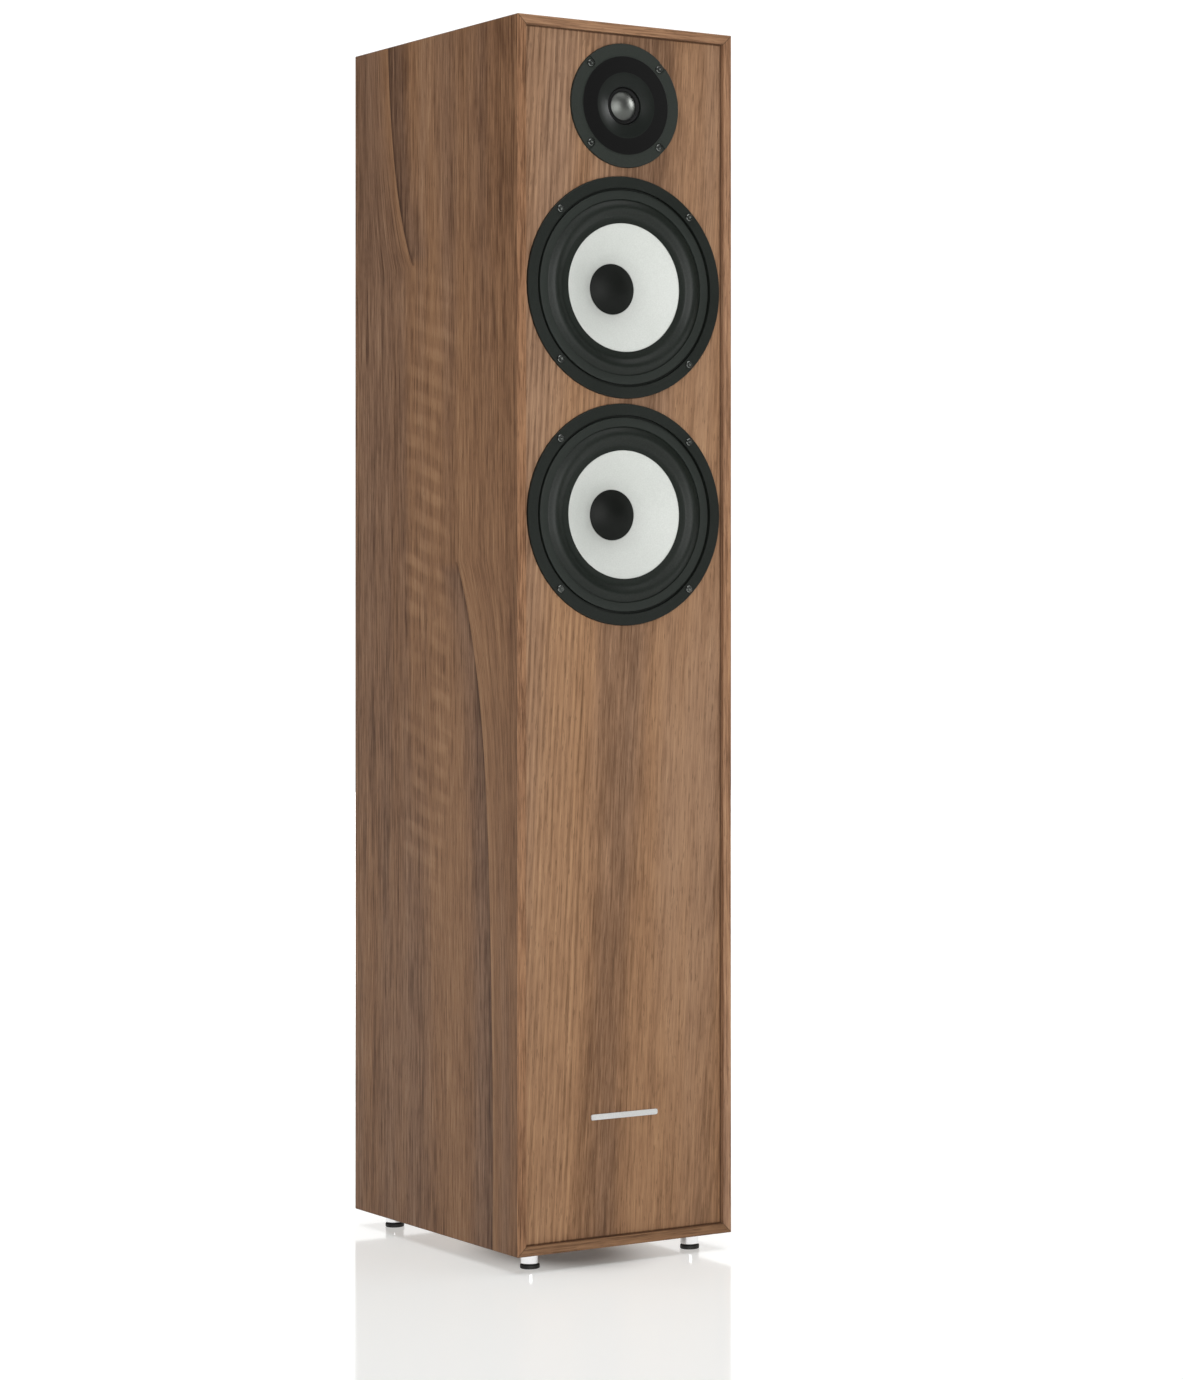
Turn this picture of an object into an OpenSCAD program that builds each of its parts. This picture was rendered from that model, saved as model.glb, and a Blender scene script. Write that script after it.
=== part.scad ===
// Two-and-a-half-way floorstanding loudspeaker: a walnut cabinet with two
// cone woofers, a dome tweeter, a rear reflex port, a terminal cup and four
// screw-down feet.
// Row frame: +Z up, the front faces -Y, the origin is the bottom centre of the
// bounding box. Inside placed() the frame is the cabinet's own: x across,
// y = depth behind the front plane, z = height above the cabinet's underside.
// Inside driver_at() the local z is the depth behind the front plane.

/* [Cabinet] */
// Outer width of the cabinet
cab_w = 200; // [198:0.5:220]
// Outer depth of the cabinet
cab_d = 285; // [275:1:330]
// Outer height of the cabinet
cab_h = 986; // [980:1:1040]
// Thickness of the side, top, bottom and back panels
panel_t = 18; // [17:0.5:20]
// Width of the panel edge that shows round the inset baffle
lip_w = 7.75; // [6:0.25:7.75]
// Depth of the baffle face behind the cabinet's front plane
baffle_inset = 4; // [3.5:0.1:5]
// Thickness of the baffle
baffle_t = 22; // [20:1:25]
// Joint gap round the baffle and the back panel
panel_gap = 0.25; // [0.1:0.05:0.4]
// Chamfer on the cabinet's outer edges
edge_chamfer = 0.6; // [0.3:0.1:1]
// Depth of the back panel's face inside the rear edge
back_inset = 1; // [0.5:0.5:2]

/* [Driver places] */
// Height of the tweeter's centre above the underside
tweeter_z = 920.7; // [915:0.1:922]
// Height of the upper woofer's centre above the underside
upper_woofer_z = 773.7; // [772:0.1:775]
// Height of the lower woofer's centre above the underside
lower_woofer_z = 590.1; // [586:0.1:591]
// Depth of the driver flanges' front face behind the front plane
flange_y = 1.9; // [1.6:0.1:2.2]
// Depth of the recess that a flange sits in
flange_recess = 3; // [2.5:0.5:3.5]

/* [Woofer] */
// Outer radius of the woofer flange
woofer_r = 89.6; // [88.6:0.1:90]
// Radius of the circle of woofer screws
woofer_screw_r = 85; // [84.5:0.1:85.5]
// Radius of the visible cone
cone_r = 51.9; // [50:0.1:52]
// Radius of the dust cap
cap_r = 20.6; // [20.4:0.1:21.5]
// Height of the dust cap's dome
cap_h = 6.5; // [5:0.5:8]
// Inner radius of the voice coil former
coil_r = 19; // [18.8:0.1:19.2]
// Depth of the cone from its rim to its neck
cone_depth = 20.2; // [19:0.1:21]
// Curvature of the cone's flare, 1 is straight
cone_flare = 1.18; // [1:0.02:1.4]
// Mean radius of the half-roll in the surround
roll_r = 64.4; // [64:0.1:64.6]
// Half width of the half-roll
roll_w = 6.5; // [6:0.1:6.7]
// Height of the half-roll
roll_h = 3.2; // [2.5:0.1:3.3]
// Number of spokes in the basket
spokes = 6; // [5:1:8]

/* [Tweeter] */
// Outer radius of the tweeter faceplate
tweeter_r = 50; // [49:0.5:51]
// Radius of the raised inner disc of the faceplate
tweeter_disc_r = 39.6; // [38:0.1:41]
// Radius of the waveguide's mouth
mouth_r = 26.4; // [25:0.1:28]
// Radius of the waveguide's throat
throat_r = 15.4; // [15.2:0.1:15.4]
// Radius of the dome
dome_r = 11.2; // [11:0.1:11.4]
// Height of the dome
dome_h = 3.8; // [3:0.1:4.5]
// Radius of the circle of tweeter screws
tweeter_screw_r = 45; // [44.5:0.1:45.5]

/* [Rear] */
// Height of the reflex port's axis above the underside
port_z = 480; // [470:5:520]
// Radius of the port's straight bore
port_r = 26.5; // [24:0.5:27]
// Length of the port tube behind the back face
port_len = 136; // [120:2:150]
// Height of the terminal cup's centre above the underside
cup_z = 150; // [140:2:160]
// Width of the terminal cup's opening
cup_w = 84; // [80:1:90]
// Height of the terminal cup's opening
cup_h = 70; // [60:1:76]
// Depth of the terminal cup
cup_depth = 29; // [29:0.5:32]
// Distance between the two binding posts
post_pitch = 19; // [18.5:0.5:25]
// Diameter of the socket in each binding post
socket_d = 4; // [3.9:0.1:4.2]

/* [Feet] */
// Height of the cabinet's underside above the floor
foot_h = 14; // [14:0.5:20]
// Distance of each foot's axis from the cabinet's edges
foot_margin = 25; // [20:1:35]
// Radius of the metal sleeve of a foot
sleeve_r = 7.55; // [7.3:0.05:9]
// Radius of the rubber pad of a foot
pad_r = 7.9; // [7.6:0.1:9.4]
// Height of the rubber pad
pad_h = 3.4; // [3:0.1:4]

/* [Badge] */
// Width of the plain badge plate
badge_w = 62; // [40:1:80]
// Height of the plain badge plate
badge_h = 4.5; // [4:0.5:12]
// Height of the badge's centre above the underside
badge_z = 105; // [80:1:140]

/* [Hidden] */
$fn = 96;

// Clear overlap of a cut past the face that it opens
cut = 1;
// Glue line between stacked pieces of a driver
glue = 0.1;
// Radial clearance of a part that turns on its shaft
running = 0.06;

// Rear flanges and the low screw heads on them stand proud of the cabinet
rear_flange_t = 2;
rear_head_h = 1;
back_face_y = cab_d - back_inset;
rear_face_y = back_face_y + rear_flange_t;
total_d = rear_face_y + rear_head_h;
front_y = -total_d / 2;

// Baffle, between the cabinet's lips
baffle_back_y = baffle_inset + baffle_t;
baffle_front_seat_y = baffle_inset + flange_recess;
inner_x = cab_w / 2 - panel_t;
back_inner_y = back_face_y - panel_t;

// Woofer stack, depths behind the front plane
gasket_in_r = 71.2;
gasket_out_r = 78.4;
flange_in_r = 80.6;
groove_y = 5.8;
basket_body_r = 78.9;
basket_wall = 3;
land_t = 0.8;
land_y = 3.4;
seat_y = land_y + land_t;
cone_t = 0.8;
cone_y = seat_y + 0.2;
neck_y = cone_y + cone_depth;
former_t = 0.3;
neck_r = coil_r + former_t + 0.05;
winding_t = 0.8;
spider_t = 0.6;
ledge_y = 34;
ledge_r = 53;
cup_in_r = 47;
cup_out_r = 51;
basket_floor_y = 43;
basket_back_y = 46;
top_plate_y = basket_back_y;
top_plate_t = 6;
magnet_t = 18;
magnet_y = top_plate_y + top_plate_t;
yoke_y = magnet_y + magnet_t;
yoke_t = 6;
plate_r = 50;
magnet_r = 55;
gap_r = coil_r + former_t + winding_t + 0.5;
pole_r = coil_r - 0.5;
baffle_hole_r = basket_body_r + 0.6;
// Screws: [head radius, head height, shank radius, shank length]
woofer_screw = [2.9, 2.2, 1.9, 22];
tweeter_screw = [2.8, 1.8, 1.4, 16];
screw_clear = 0.1;
woofer_seat_y = flange_y + 0.8;
woofer_pocket_r = 3.2;
tweeter_seat_y = flange_y + 1.2;
tweeter_pocket_r = 3.7;

// Tweeter stack, depths behind the front plane
disc_y = flange_y - 0.5;
mouth_y = 0.8;
throat_y = 3.6;
t_lip_y = 5.2;
t_land_y = 5.3;
t_land_t = 0.3;
t_boss_r = 34;
t_plate_y = 10.5;
t_plate_t = 3.5;
t_magnet_y = t_plate_y + t_plate_t;
t_magnet_t = 12;
t_magnet_r = 36;
t_yoke_t = 5;
t_coil_r = 12.05;
t_pole_r = 11.5;
t_hole_r = 38;

// Terminal cup and its posts
cup_wall = 2.5;
cup_margin = 10;
cup_corner = 6;
cup_floor_y = rear_face_y - cup_depth;
cup_floor_t = 3;
collar_h = 6;
collar_y = cup_floor_y + collar_h;
washer_gap = 0.3;
washer_t = 1.4;
washer_r = 7;
knob_y = collar_y + washer_gap + washer_t + 0.3;
knob_len = 15;
knob_r = 7.5;
knob_end_t = 1.5;
insert_r = 5;
post_r = 3;
post_end_y = knob_y + knob_len - 0.5;
post_in_y = cup_floor_y - cup_floor_t - 14;
socket_depth = 17;
flutes = 16;
flute_r = 0.7;

// Feet
foot_gap = 0.3;
stud_r = 4;
stud_top = 14.5;
stud_hole = 16;
foot_boss_r = 4.5;
foot_boss_h = 4.5;
insert_wall = 2;
foot_x = cab_w / 2 - foot_margin;
foot_front_y = foot_margin;
foot_rear_y = cab_d - foot_margin;

// Inner fittings
brace_t = 15;
brace_zs = [205, 400, 682];
brace_rim = 24;
board_w = 110;
board_d = 150;
board_t = 1.6;
board_z = panel_t + 8;
board_y = 80;
cable_r = 2.2;
cable_x = -inner_x + brace_rim + cable_r + 0.2;
cable_y = 215;

// The angles of the four screws in a driver flange
screw_angles = [45, 135, 225, 315];

// ---------- Frames and helpers ----------

module placed() {
    translate([0, front_y, foot_h]) children();
}

module driver_at(z) {
    placed() translate([0, 0, z]) rotate([-90, 0, 0]) children();
}

// Post axes, with local z along the way a plug leaves, from depth 0
module post_at(side) {
    placed() translate([side * post_pitch / 2, 0, cup_z]) rotate([-90, 0, 0]) children();
}

module around_screws(radius) {
    for (a = screw_angles) rotate([0, 0, a]) translate([radius, 0, 0]) children();
}

module ring(r_in, r_out, z, h) {
    translate([0, 0, z]) difference() {
        cylinder(r = r_out, h = h);
        translate([0, 0, -cut]) cylinder(r = r_in, h = h + 2 * cut);
    }
}

module chamfered_rect(w, h, c) {
    polygon([[c, 0], [w - c, 0], [w, c], [w, h - c], [w - c, h], [c, h], [0, h - c], [0, c]]);
}

module rounded_rect(w, h, r) {
    square([w - 2 * r, h], center = true);
    square([w, h - 2 * r], center = true);
    for (x = [-1, 1], y = [-1, 1]) {
        translate([x * (w / 2 - r), y * (h / 2 - r)]) circle(r = r);
    }
}

// A box whose depth runs along y from y0, centred on x, and on z at zc
module slab_y(w, h, y0, t, zc) {
    translate([-w / 2, y0, zc - h / 2]) cube([w, t, h]);
}

// ---------- Cabinet ----------

// The whole cabinet block with every outer edge chamfered
module cabinet_block() {
    c = edge_chamfer;
    intersection() {
        translate([-cab_w / 2, 0, 0]) linear_extrude(cab_h) chamfered_rect(cab_w, cab_d, c);
        translate([-cab_w / 2, cab_d, 0]) rotate([90, 0, 0])
            linear_extrude(cab_d) chamfered_rect(cab_w, cab_h, c);
        translate([-cab_w / 2, 0, 0]) rotate([90, 0, 90])
            linear_extrude(cab_w) chamfered_rect(cab_d, cab_h, c);
    }
}

// The rebates that hold the baffle and the back panel
module rebates() {
    w = cab_w - 2 * lip_w;
    h = cab_h - 2 * lip_w;
    slab_y(w, h, -cut, baffle_back_y + cut, cab_h / 2);
    slab_y(w, h, back_inner_y, cab_d - back_inner_y + cut, cab_h / 2);
}

// One panel of the mitred frame: points is its outline across x and z
module frame_panel(points) {
    difference() {
        intersection() {
            cabinet_block();
            translate([0, cab_d, 0]) rotate([90, 0, 0]) linear_extrude(cab_d) polygon(points);
        }
        rebates();
    }
}

// side is -1 for left and 1 for right, seen from the front
module side_panel(side) {
    x = side * cab_w / 2;
    xi = side * inner_x;
    color("saddlebrown") placed()
        frame_panel([[x, 0], [xi, panel_t], [xi, cab_h - panel_t], [x, cab_h]]);
}

module top_panel() {
    x = cab_w / 2;
    color("sienna") placed() frame_panel([
        [-x, cab_h], [-inner_x, cab_h - panel_t], [inner_x, cab_h - panel_t], [x, cab_h]
    ]);
}

module at_feet() {
    for (x = [-foot_x, foot_x], y = [foot_front_y, foot_rear_y]) translate([x, y, 0]) children();
}

// The holes that take the feet's threaded inserts
module insert_holes() {
    at_feet() translate([0, 0, -cut])
        cylinder(r = stud_r + running + insert_wall, h = stud_hole + cut);
}

module bottom_panel() {
    x = cab_w / 2;
    color("sienna") placed() difference() {
        frame_panel([[-x, 0], [-inner_x, panel_t], [inner_x, panel_t], [x, 0]]);
        insert_holes();
    }
}

module driver_cutout(z, recess_r, hole_r, screw_pcr, screw) {
    translate([0, 0, z]) rotate([-90, 0, 0]) {
        cylinder(r = recess_r, h = baffle_front_seat_y);
        cylinder(r = hole_r, h = baffle_back_y + cut);
        around_screws(screw_pcr) cylinder(r = screw[2] + screw_clear, h = screw[3] + 3);
    }
}

module front_baffle() {
    w = cab_w - 2 * lip_w - 2 * panel_gap;
    h = cab_h - 2 * lip_w - 2 * panel_gap;
    recess = 0.3;
    color("peru") placed() difference() {
        slab_y(w, h, baffle_inset, baffle_t, cab_h / 2);
        driver_cutout(upper_woofer_z, woofer_r + recess, baffle_hole_r, woofer_screw_r, woofer_screw);
        driver_cutout(lower_woofer_z, woofer_r + recess, baffle_hole_r, woofer_screw_r, woofer_screw);
        driver_cutout(tweeter_z, tweeter_r + recess, t_hole_r, tweeter_screw_r, tweeter_screw);
        insert_holes();
    }
}

module back_panel() {
    w = cab_w - 2 * lip_w - 2 * panel_gap;
    h = cab_h - 2 * lip_w - 2 * panel_gap;
    cup_clear = 2 * cup_wall + 1;
    color("peru") placed() difference() {
        slab_y(w, h, back_inner_y, panel_t, cab_h / 2);
        translate([0, 0, port_z]) rotate([-90, 0, 0])
            cylinder(r = port_r + 10, h = cab_d);
        slab_y(cup_w + cup_clear, cup_h + cup_clear, back_inner_y - cut, panel_t + 2 * cut, cup_z);
        at_cup_screws(back_inner_y + 4) cylinder(r = 1.5, h = panel_t);
        insert_holes();
    }
}

module brace(z) {
    d = back_inner_y - baffle_back_y;
    difference() {
        translate([-inner_x, baffle_back_y, z - brace_t / 2]) cube([2 * inner_x, d, brace_t]);
        translate([0, baffle_back_y + d / 2, z - brace_t / 2 - cut])
            linear_extrude(brace_t + 2 * cut)
            rounded_rect(2 * inner_x - 2 * brace_rim, d - 2 * brace_rim, 12);
    }
}

module window_braces() {
    color("burlywood") placed() for (z = brace_zs) brace(z);
}

module badge_plate() {
    t = 0.8;
    color("silver") placed()
        translate([0, baffle_inset, badge_z]) rotate([90, 0, 0])
        linear_extrude(t) rounded_rect(badge_w, badge_h, 1.5);
}

// ---------- Woofer ----------

// Depth of the cone's front face at radius r
function cone_face_y(r) = cone_y + cone_depth
    * pow((cone_r - r) / (cone_r - neck_r), cone_flare);

// Points of a half ellipse over the roll, from the outer foot to the inner one
function roll_points(mid, half_w, h, y) = [
    for (i = [0:16]) [mid + half_w * cos(i * 180 / 16), y - h * sin(i * 180 / 16)]
];

function reversed(list) = [for (i = [len(list) - 1:-1:0]) list[i]];

// A counterbore down to seat_y with a through hole, both cut from the front
module screw_pocket(r, seat_y, hole_r) {
    cylinder(r = r, h = seat_y);
    cylinder(r = hole_r, h = baffle_front_seat_y + cut);
}

module basket_profile() {
    slope_y = 12;
    inner_y = 32;
    inner_r = 55.8;
    polygon([
        [flange_in_r, flange_y], [woofer_r - 0.4, flange_y], [woofer_r, flange_y + 0.4],
        [woofer_r, baffle_front_seat_y], [basket_body_r, baffle_front_seat_y],
        [basket_body_r, slope_y], [cup_out_r, 40], [cup_out_r, basket_back_y],
        [gap_r + 0.9, basket_back_y], [gap_r + 0.9, basket_floor_y],
        [cup_in_r, basket_floor_y], [cup_in_r, ledge_y], [ledge_r, ledge_y],
        [inner_r, inner_y], [basket_body_r - basket_wall, slope_y],
        [basket_body_r - basket_wall, baffle_front_seat_y],
        [gasket_in_r - 1.2, baffle_front_seat_y], [gasket_in_r - 1.2, seat_y],
        [gasket_out_r, seat_y], [gasket_out_r, groove_y], [flange_in_r, groove_y]
    ]);
}

module basket(z) {
    window = [[56, -17], [95, -33], [95, 33], [56, 17]];
    color("dimgray") driver_at(z) difference() {
        rotate_extrude() basket_profile();
        for (i = [0:spokes - 1]) rotate([0, 0, i * 360 / spokes])
            translate([0, 0, 10]) linear_extrude(22) polygon(window * 6 / spokes);
        around_screws(woofer_screw_r)
            screw_pocket(woofer_pocket_r, woofer_seat_y, woofer_screw[2] + screw_clear);
    }
}

module gasket(z) {
    y = land_y - 1.1;
    c = 0.3;
    color("dimgray") driver_at(z) rotate_extrude() polygon([
        [gasket_in_r, land_y], [gasket_in_r, y + c], [gasket_in_r + c, y],
        [gasket_out_r - c, y], [gasket_out_r, y + c], [gasket_out_r, land_y]
    ]);
}

module surround(z) {
    back = land_y + land_t;
    color("black") driver_at(z) rotate_extrude() polygon(concat(
        [[gasket_out_r, back], [gasket_out_r, land_y]],
        roll_points(roll_r, roll_w, roll_h, land_y),
        [[cone_r, land_y], [cone_r, back]],
        reversed(roll_points(roll_r, roll_w - land_t, roll_h - land_t / 2, back))
    ));
}

module cone(z) {
    steps = 14;
    rim_r = roll_r - roll_w - 1;
    radii = [for (i = [0:steps]) cone_r + (neck_r - cone_r) * i / steps];
    front = [for (r = radii) [r, cone_face_y(r)]];
    back = [for (r = reversed(radii)) [r, cone_face_y(r) + cone_t]];
    color("white") driver_at(z) rotate_extrude()
        polygon(concat([[rim_r, cone_y + cone_t], [rim_r, cone_y]], front, back));
}

// Points of a dome of base radius r and height h whose edge is at depth y
function dome_points(r, h, y, steps) = [
    for (i = [0:steps]) let (s = i / steps) [r * (1 - s), y - h * (1 - pow(1 - s, 2))]
];

module dust_cap(z) {
    t = 0.7;
    edge_y = cone_face_y(cap_r - 0.9) - glue;
    steps = 12;
    color("black") driver_at(z) rotate_extrude() polygon(concat(
        dome_points(cap_r, cap_h, edge_y - t, steps),
        reversed(dome_points(cap_r - 0.9, cap_h - 0.1, edge_y, steps))
    ));
}

module voice_coil(z) {
    coil_len = 15;
    gap_mid = top_plate_y + top_plate_t / 2;
    former_end = gap_mid + coil_len / 2 + 1.5;
    color("orangered") driver_at(z) {
        ring(coil_r, coil_r + former_t, neck_y - glue, former_end - neck_y + glue);
        ring(coil_r + former_t, coil_r + former_t + winding_t, gap_mid - coil_len / 2, coil_len);
    }
}

module spider(z) {
    steps = 48;
    r0 = neck_r + 3;
    r1 = cup_in_r - 1;
    wave_h = 1.1;
    waves = 4;
    y = ledge_y - glue - spider_t;
    wave = [for (i = [0:steps]) [
        r0 + (r1 - r0) * i / steps,
        y - wave_h * sin(i * 360 * waves / steps)
    ]];
    front = concat([[neck_r, y]], wave, [[ledge_r - 0.3, y]]);
    color("goldenrod") driver_at(z) rotate_extrude()
        polygon(concat(front, reversed([for (p = front) [p[0], p[1] + spider_t]])));
}

module top_plate(z) {
    color("slategray") driver_at(z) ring(gap_r, plate_r, top_plate_y, top_plate_t);
}

module magnet(z) {
    color("darkslategray") driver_at(z) ring(27, magnet_r, magnet_y, magnet_t);
}

module yoke(z) {
    vent_r = 5;
    color("slategray") driver_at(z) difference() {
        union() {
            translate([0, 0, yoke_y]) cylinder(r1 = plate_r, r2 = plate_r - 2, h = yoke_t);
            translate([0, 0, top_plate_y]) cylinder(r = pole_r, h = yoke_y - top_plate_y + cut);
        }
        translate([0, 0, top_plate_y - cut]) cylinder(r = vent_r, h = yoke_y);
    }
}

// A cap screw with a hexagon socket: s is [head r, head h, shank r, shank length]
module cap_screw(s, seat_y) {
    top = seat_y - s[1];
    edge = 0.5;
    difference() {
        union() {
            rotate_extrude() polygon([
                [0, seat_y], [0, top], [s[0] - edge, top], [s[0], top + edge], [s[0], seat_y]
            ]);
            translate([0, 0, seat_y - cut]) cylinder(r = s[2], h = s[3] - 2 + cut);
        }
        translate([0, 0, top - cut]) cylinder(r = s[0] * 0.48, h = s[1] * 0.6 + cut, $fn = 6);
    }
}

module driver_screws() {
    color("black") {
        for (z = [upper_woofer_z, lower_woofer_z])
            driver_at(z) around_screws(woofer_screw_r) cap_screw(woofer_screw, woofer_seat_y);
        driver_at(tweeter_z) around_screws(tweeter_screw_r) cap_screw(tweeter_screw, tweeter_seat_y);
    }
}

// ---------- Tweeter ----------

module tweeter_faceplate() {
    steps = 10;
    flare = 1.25;
    guide = [for (i = [0:steps]) let (s = i / steps) [
        mouth_r + (throat_r - mouth_r) * s,
        mouth_y + (throat_y - mouth_y) * pow(s, flare)
    ]];
    pocket_r = 20;
    color("dimgray") driver_at(tweeter_z) difference() {
        rotate_extrude() polygon(concat(
            [
                [tweeter_r, baffle_front_seat_y], [tweeter_r, flange_y + 0.3],
                [tweeter_r - 0.3, flange_y], [tweeter_disc_r + 0.4, flange_y],
                [tweeter_disc_r, disc_y], [mouth_r + 0.8, mouth_y]
            ],
            guide,
            [
                [throat_r, t_lip_y], [pocket_r, t_lip_y], [pocket_r, t_plate_y],
                [t_boss_r, t_plate_y], [t_boss_r, baffle_front_seat_y]
            ]
        ));
        around_screws(tweeter_screw_r) {
            screw_pocket(tweeter_pocket_r, tweeter_seat_y, tweeter_screw[2] + screw_clear);
            translate([0, -tweeter_pocket_r, 0])
                cube([tweeter_r, 2 * tweeter_pocket_r, tweeter_seat_y]);
        }
    }
}

module tweeter_surround() {
    mid = 14;
    half = 0.9;
    back = t_land_y + t_land_t;
    frame_in = 15.5;
    frame_out = 19.7;
    color("black") driver_at(tweeter_z) rotate_extrude() polygon(concat(
        [[frame_out, t_plate_y - glue], [frame_out, t_land_y]],
        roll_points(mid, half, 0.9, t_land_y),
        [[dome_r + 0.3, t_land_y], [dome_r + 0.3, back]],
        reversed(roll_points(mid, half - t_land_t, 0.8, back)),
        [[frame_in, back], [frame_in, t_plate_y - glue]]
    ));
}

module tweeter_dome() {
    lip = 1.2;
    y = t_land_y + t_land_t + 0.1;
    t = 0.3;
    steps = 14;
    color("silver") driver_at(tweeter_z) rotate_extrude() polygon(concat(
        [[dome_r + lip, y + t], [dome_r + lip, y]],
        dome_points(dome_r, dome_h, y, steps),
        reversed(dome_points(dome_r - t, dome_h, y + t, steps))
    ));
}

module tweeter_voice_coil() {
    y = t_land_y + 2 * t_land_t + 0.15;
    color("orangered") driver_at(tweeter_z) {
        ring(t_coil_r, t_coil_r + 0.2, y, 7);
        ring(t_coil_r + 0.2, t_coil_r + 0.6, y + 3, 3.5);
    }
}

module tweeter_top_plate() {
    color("slategray") driver_at(tweeter_z) ring(13.1, t_boss_r, t_plate_y, t_plate_t);
}

module tweeter_magnet() {
    color("darkslategray") driver_at(tweeter_z) ring(18, t_magnet_r, t_magnet_y, t_magnet_t);
}

module tweeter_yoke() {
    back = t_magnet_y + t_magnet_t;
    color("slategray") driver_at(tweeter_z) {
        translate([0, 0, t_plate_y]) cylinder(r = t_pole_r, h = back - t_plate_y);
        translate([0, 0, back]) cylinder(r1 = t_boss_r, r2 = t_boss_r - 2, h = t_yoke_t);
    }
}

// ---------- Rear fittings ----------

module port_tube() {
    wall = 3;
    flare = 14;
    steps = 10;
    flange_r = port_r + flare + 6.5;
    arc_y = rear_face_y - flare;
    inner_end = rear_face_y - port_len;
    mouth = [for (i = [0:steps]) let (a = i * 90 / steps) [
        port_r + flare * (1 - cos(a)), arc_y + flare * sin(a)
    ]];
    neck = [for (i = [0:steps]) let (a = i * 90 / steps) [
        port_r + wall + 6 * (1 - cos(a)), back_face_y - 14 + 14 * sin(a)
    ]];
    color("black") driver_at(port_z) rotate_extrude() polygon(concat(
        [[port_r + 6, inner_end], [port_r, inner_end + 10]],
        mouth,
        [[flange_r - 1, rear_face_y], [flange_r, rear_face_y - 1], [flange_r, back_face_y]],
        reversed(neck),
        [[port_r + wall, inner_end + 10 + wall], [port_r + wall + 6, inner_end + 2]]
    ));
}

// The four screws in the terminal cup's flange, with local z along their axes
module at_cup_screws(y) {
    for (x = [-1, 1], z = [-1, 1])
        translate([x * (cup_w + cup_margin) / 2, y, cup_z + z * (cup_h + cup_margin) / 2])
            rotate([-90, 0, 0]) children();
}

module terminal_cup() {
    flange_w = cup_w + 2 * cup_margin;
    flange_h = cup_h + 2 * cup_margin;
    outer_w = cup_w + 2 * cup_wall;
    outer_h = cup_h + 2 * cup_wall;
    floor_back_y = cup_floor_y - cup_floor_t;
    color("black") {
        placed() difference() {
            translate([0, 0, cup_z]) rotate([-90, 0, 0]) {
                translate([0, 0, back_face_y]) linear_extrude(rear_flange_t)
                    rounded_rect(flange_w, flange_h, cup_corner);
                translate([0, 0, floor_back_y]) linear_extrude(back_face_y - floor_back_y + cut)
                    rounded_rect(outer_w, outer_h, cup_corner);
            }
            translate([0, cup_floor_y, cup_z]) rotate([-90, 0, 0])
                linear_extrude(cup_depth + cut)
                rounded_rect(cup_w, cup_h, cup_corner - cup_wall);
            for (side = [-1, 1]) translate([side * post_pitch / 2, 0, cup_z])
                rotate([-90, 0, 0]) cylinder(r = post_r + screw_clear, h = cab_d);
            at_cup_screws(back_face_y - cut) cylinder(r = 1.6, h = rear_flange_t + 2 * cut);
        }
        for (side = [-1, 1]) post_at(side)
            ring(post_r + screw_clear, knob_r, cup_floor_y, collar_h);
    }
}

module binding_posts() {
    nut_t = 5;
    nut_r = 5.8;
    floor_back_y = cup_floor_y - cup_floor_t;
    color("gold") for (side = [-1, 1]) post_at(side) difference() {
        union() {
            translate([0, 0, post_in_y]) cylinder(r = post_r, h = post_end_y - post_in_y);
            translate([0, 0, floor_back_y - nut_t]) cylinder(r = nut_r, h = nut_t, $fn = 6);
        }
        translate([0, 0, post_end_y - socket_depth])
            cylinder(d = socket_d, h = socket_depth + cut);
    }
}

// side is -1 for the red post and 1 for the black one
module clamp_washer(side) {
    color("gold") post_at(side)
        ring(post_r + running, washer_r, collar_y + washer_gap, washer_t);
}

module knob_insert(side) {
    color("gold") post_at(side)
        ring(post_r + running, insert_r, knob_y, knob_len - knob_end_t);
}

module knob(side, tint) {
    edge = 0.8;
    color(tint) post_at(side) difference() {
        rotate_extrude() polygon([
            [insert_r, knob_y], [knob_r, knob_y], [knob_r, knob_y + knob_len - edge],
            [knob_r - edge, knob_y + knob_len], [post_r + 0.4, knob_y + knob_len],
            [post_r + 0.4, knob_y + knob_len - knob_end_t],
            [insert_r, knob_y + knob_len - knob_end_t]
        ]);
        for (i = [0:flutes - 1]) rotate([0, 0, i * 360 / flutes])
            translate([knob_r, 0, knob_y + 2]) cylinder(r = flute_r, h = knob_len, $fn = 24);
    }
}

// ---------- Feet ----------

// side_x and side_y pick the foot: -1 is left or front, 1 is right or rear
module foot_at(side_x, side_y) {
    y = side_y < 0 ? foot_front_y : foot_rear_y;
    placed() translate([side_x * foot_x, y, -foot_h]) children();
}

module foot_pad(side_x, side_y) {
    c = 0.5;
    color("black") foot_at(side_x, side_y) rotate_extrude() polygon([
        [0, 0], [pad_r - c, 0], [pad_r, c], [pad_r, pad_h - c], [pad_r - c, pad_h],
        [foot_boss_r, pad_h], [foot_boss_r, pad_h + foot_boss_h], [0, pad_h + foot_boss_h]
    ]);
}

module foot_sleeve(side_x, side_y) {
    c = 0.6;
    base = pad_h + foot_gap;
    top = foot_h - foot_gap;
    bore_r = foot_boss_r + running;
    bore_top = pad_h + foot_boss_h + foot_gap;
    color("lightgray") foot_at(side_x, side_y) rotate_extrude() polygon([
        [bore_r, base], [sleeve_r - c, base], [sleeve_r, base + c],
        [sleeve_r, top - c], [sleeve_r - c, top], [stud_r, top],
        [stud_r, foot_h + stud_top - c], [stud_r - c, foot_h + stud_top],
        [0, foot_h + stud_top], [0, bore_top], [bore_r, bore_top]
    ]);
}

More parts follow.
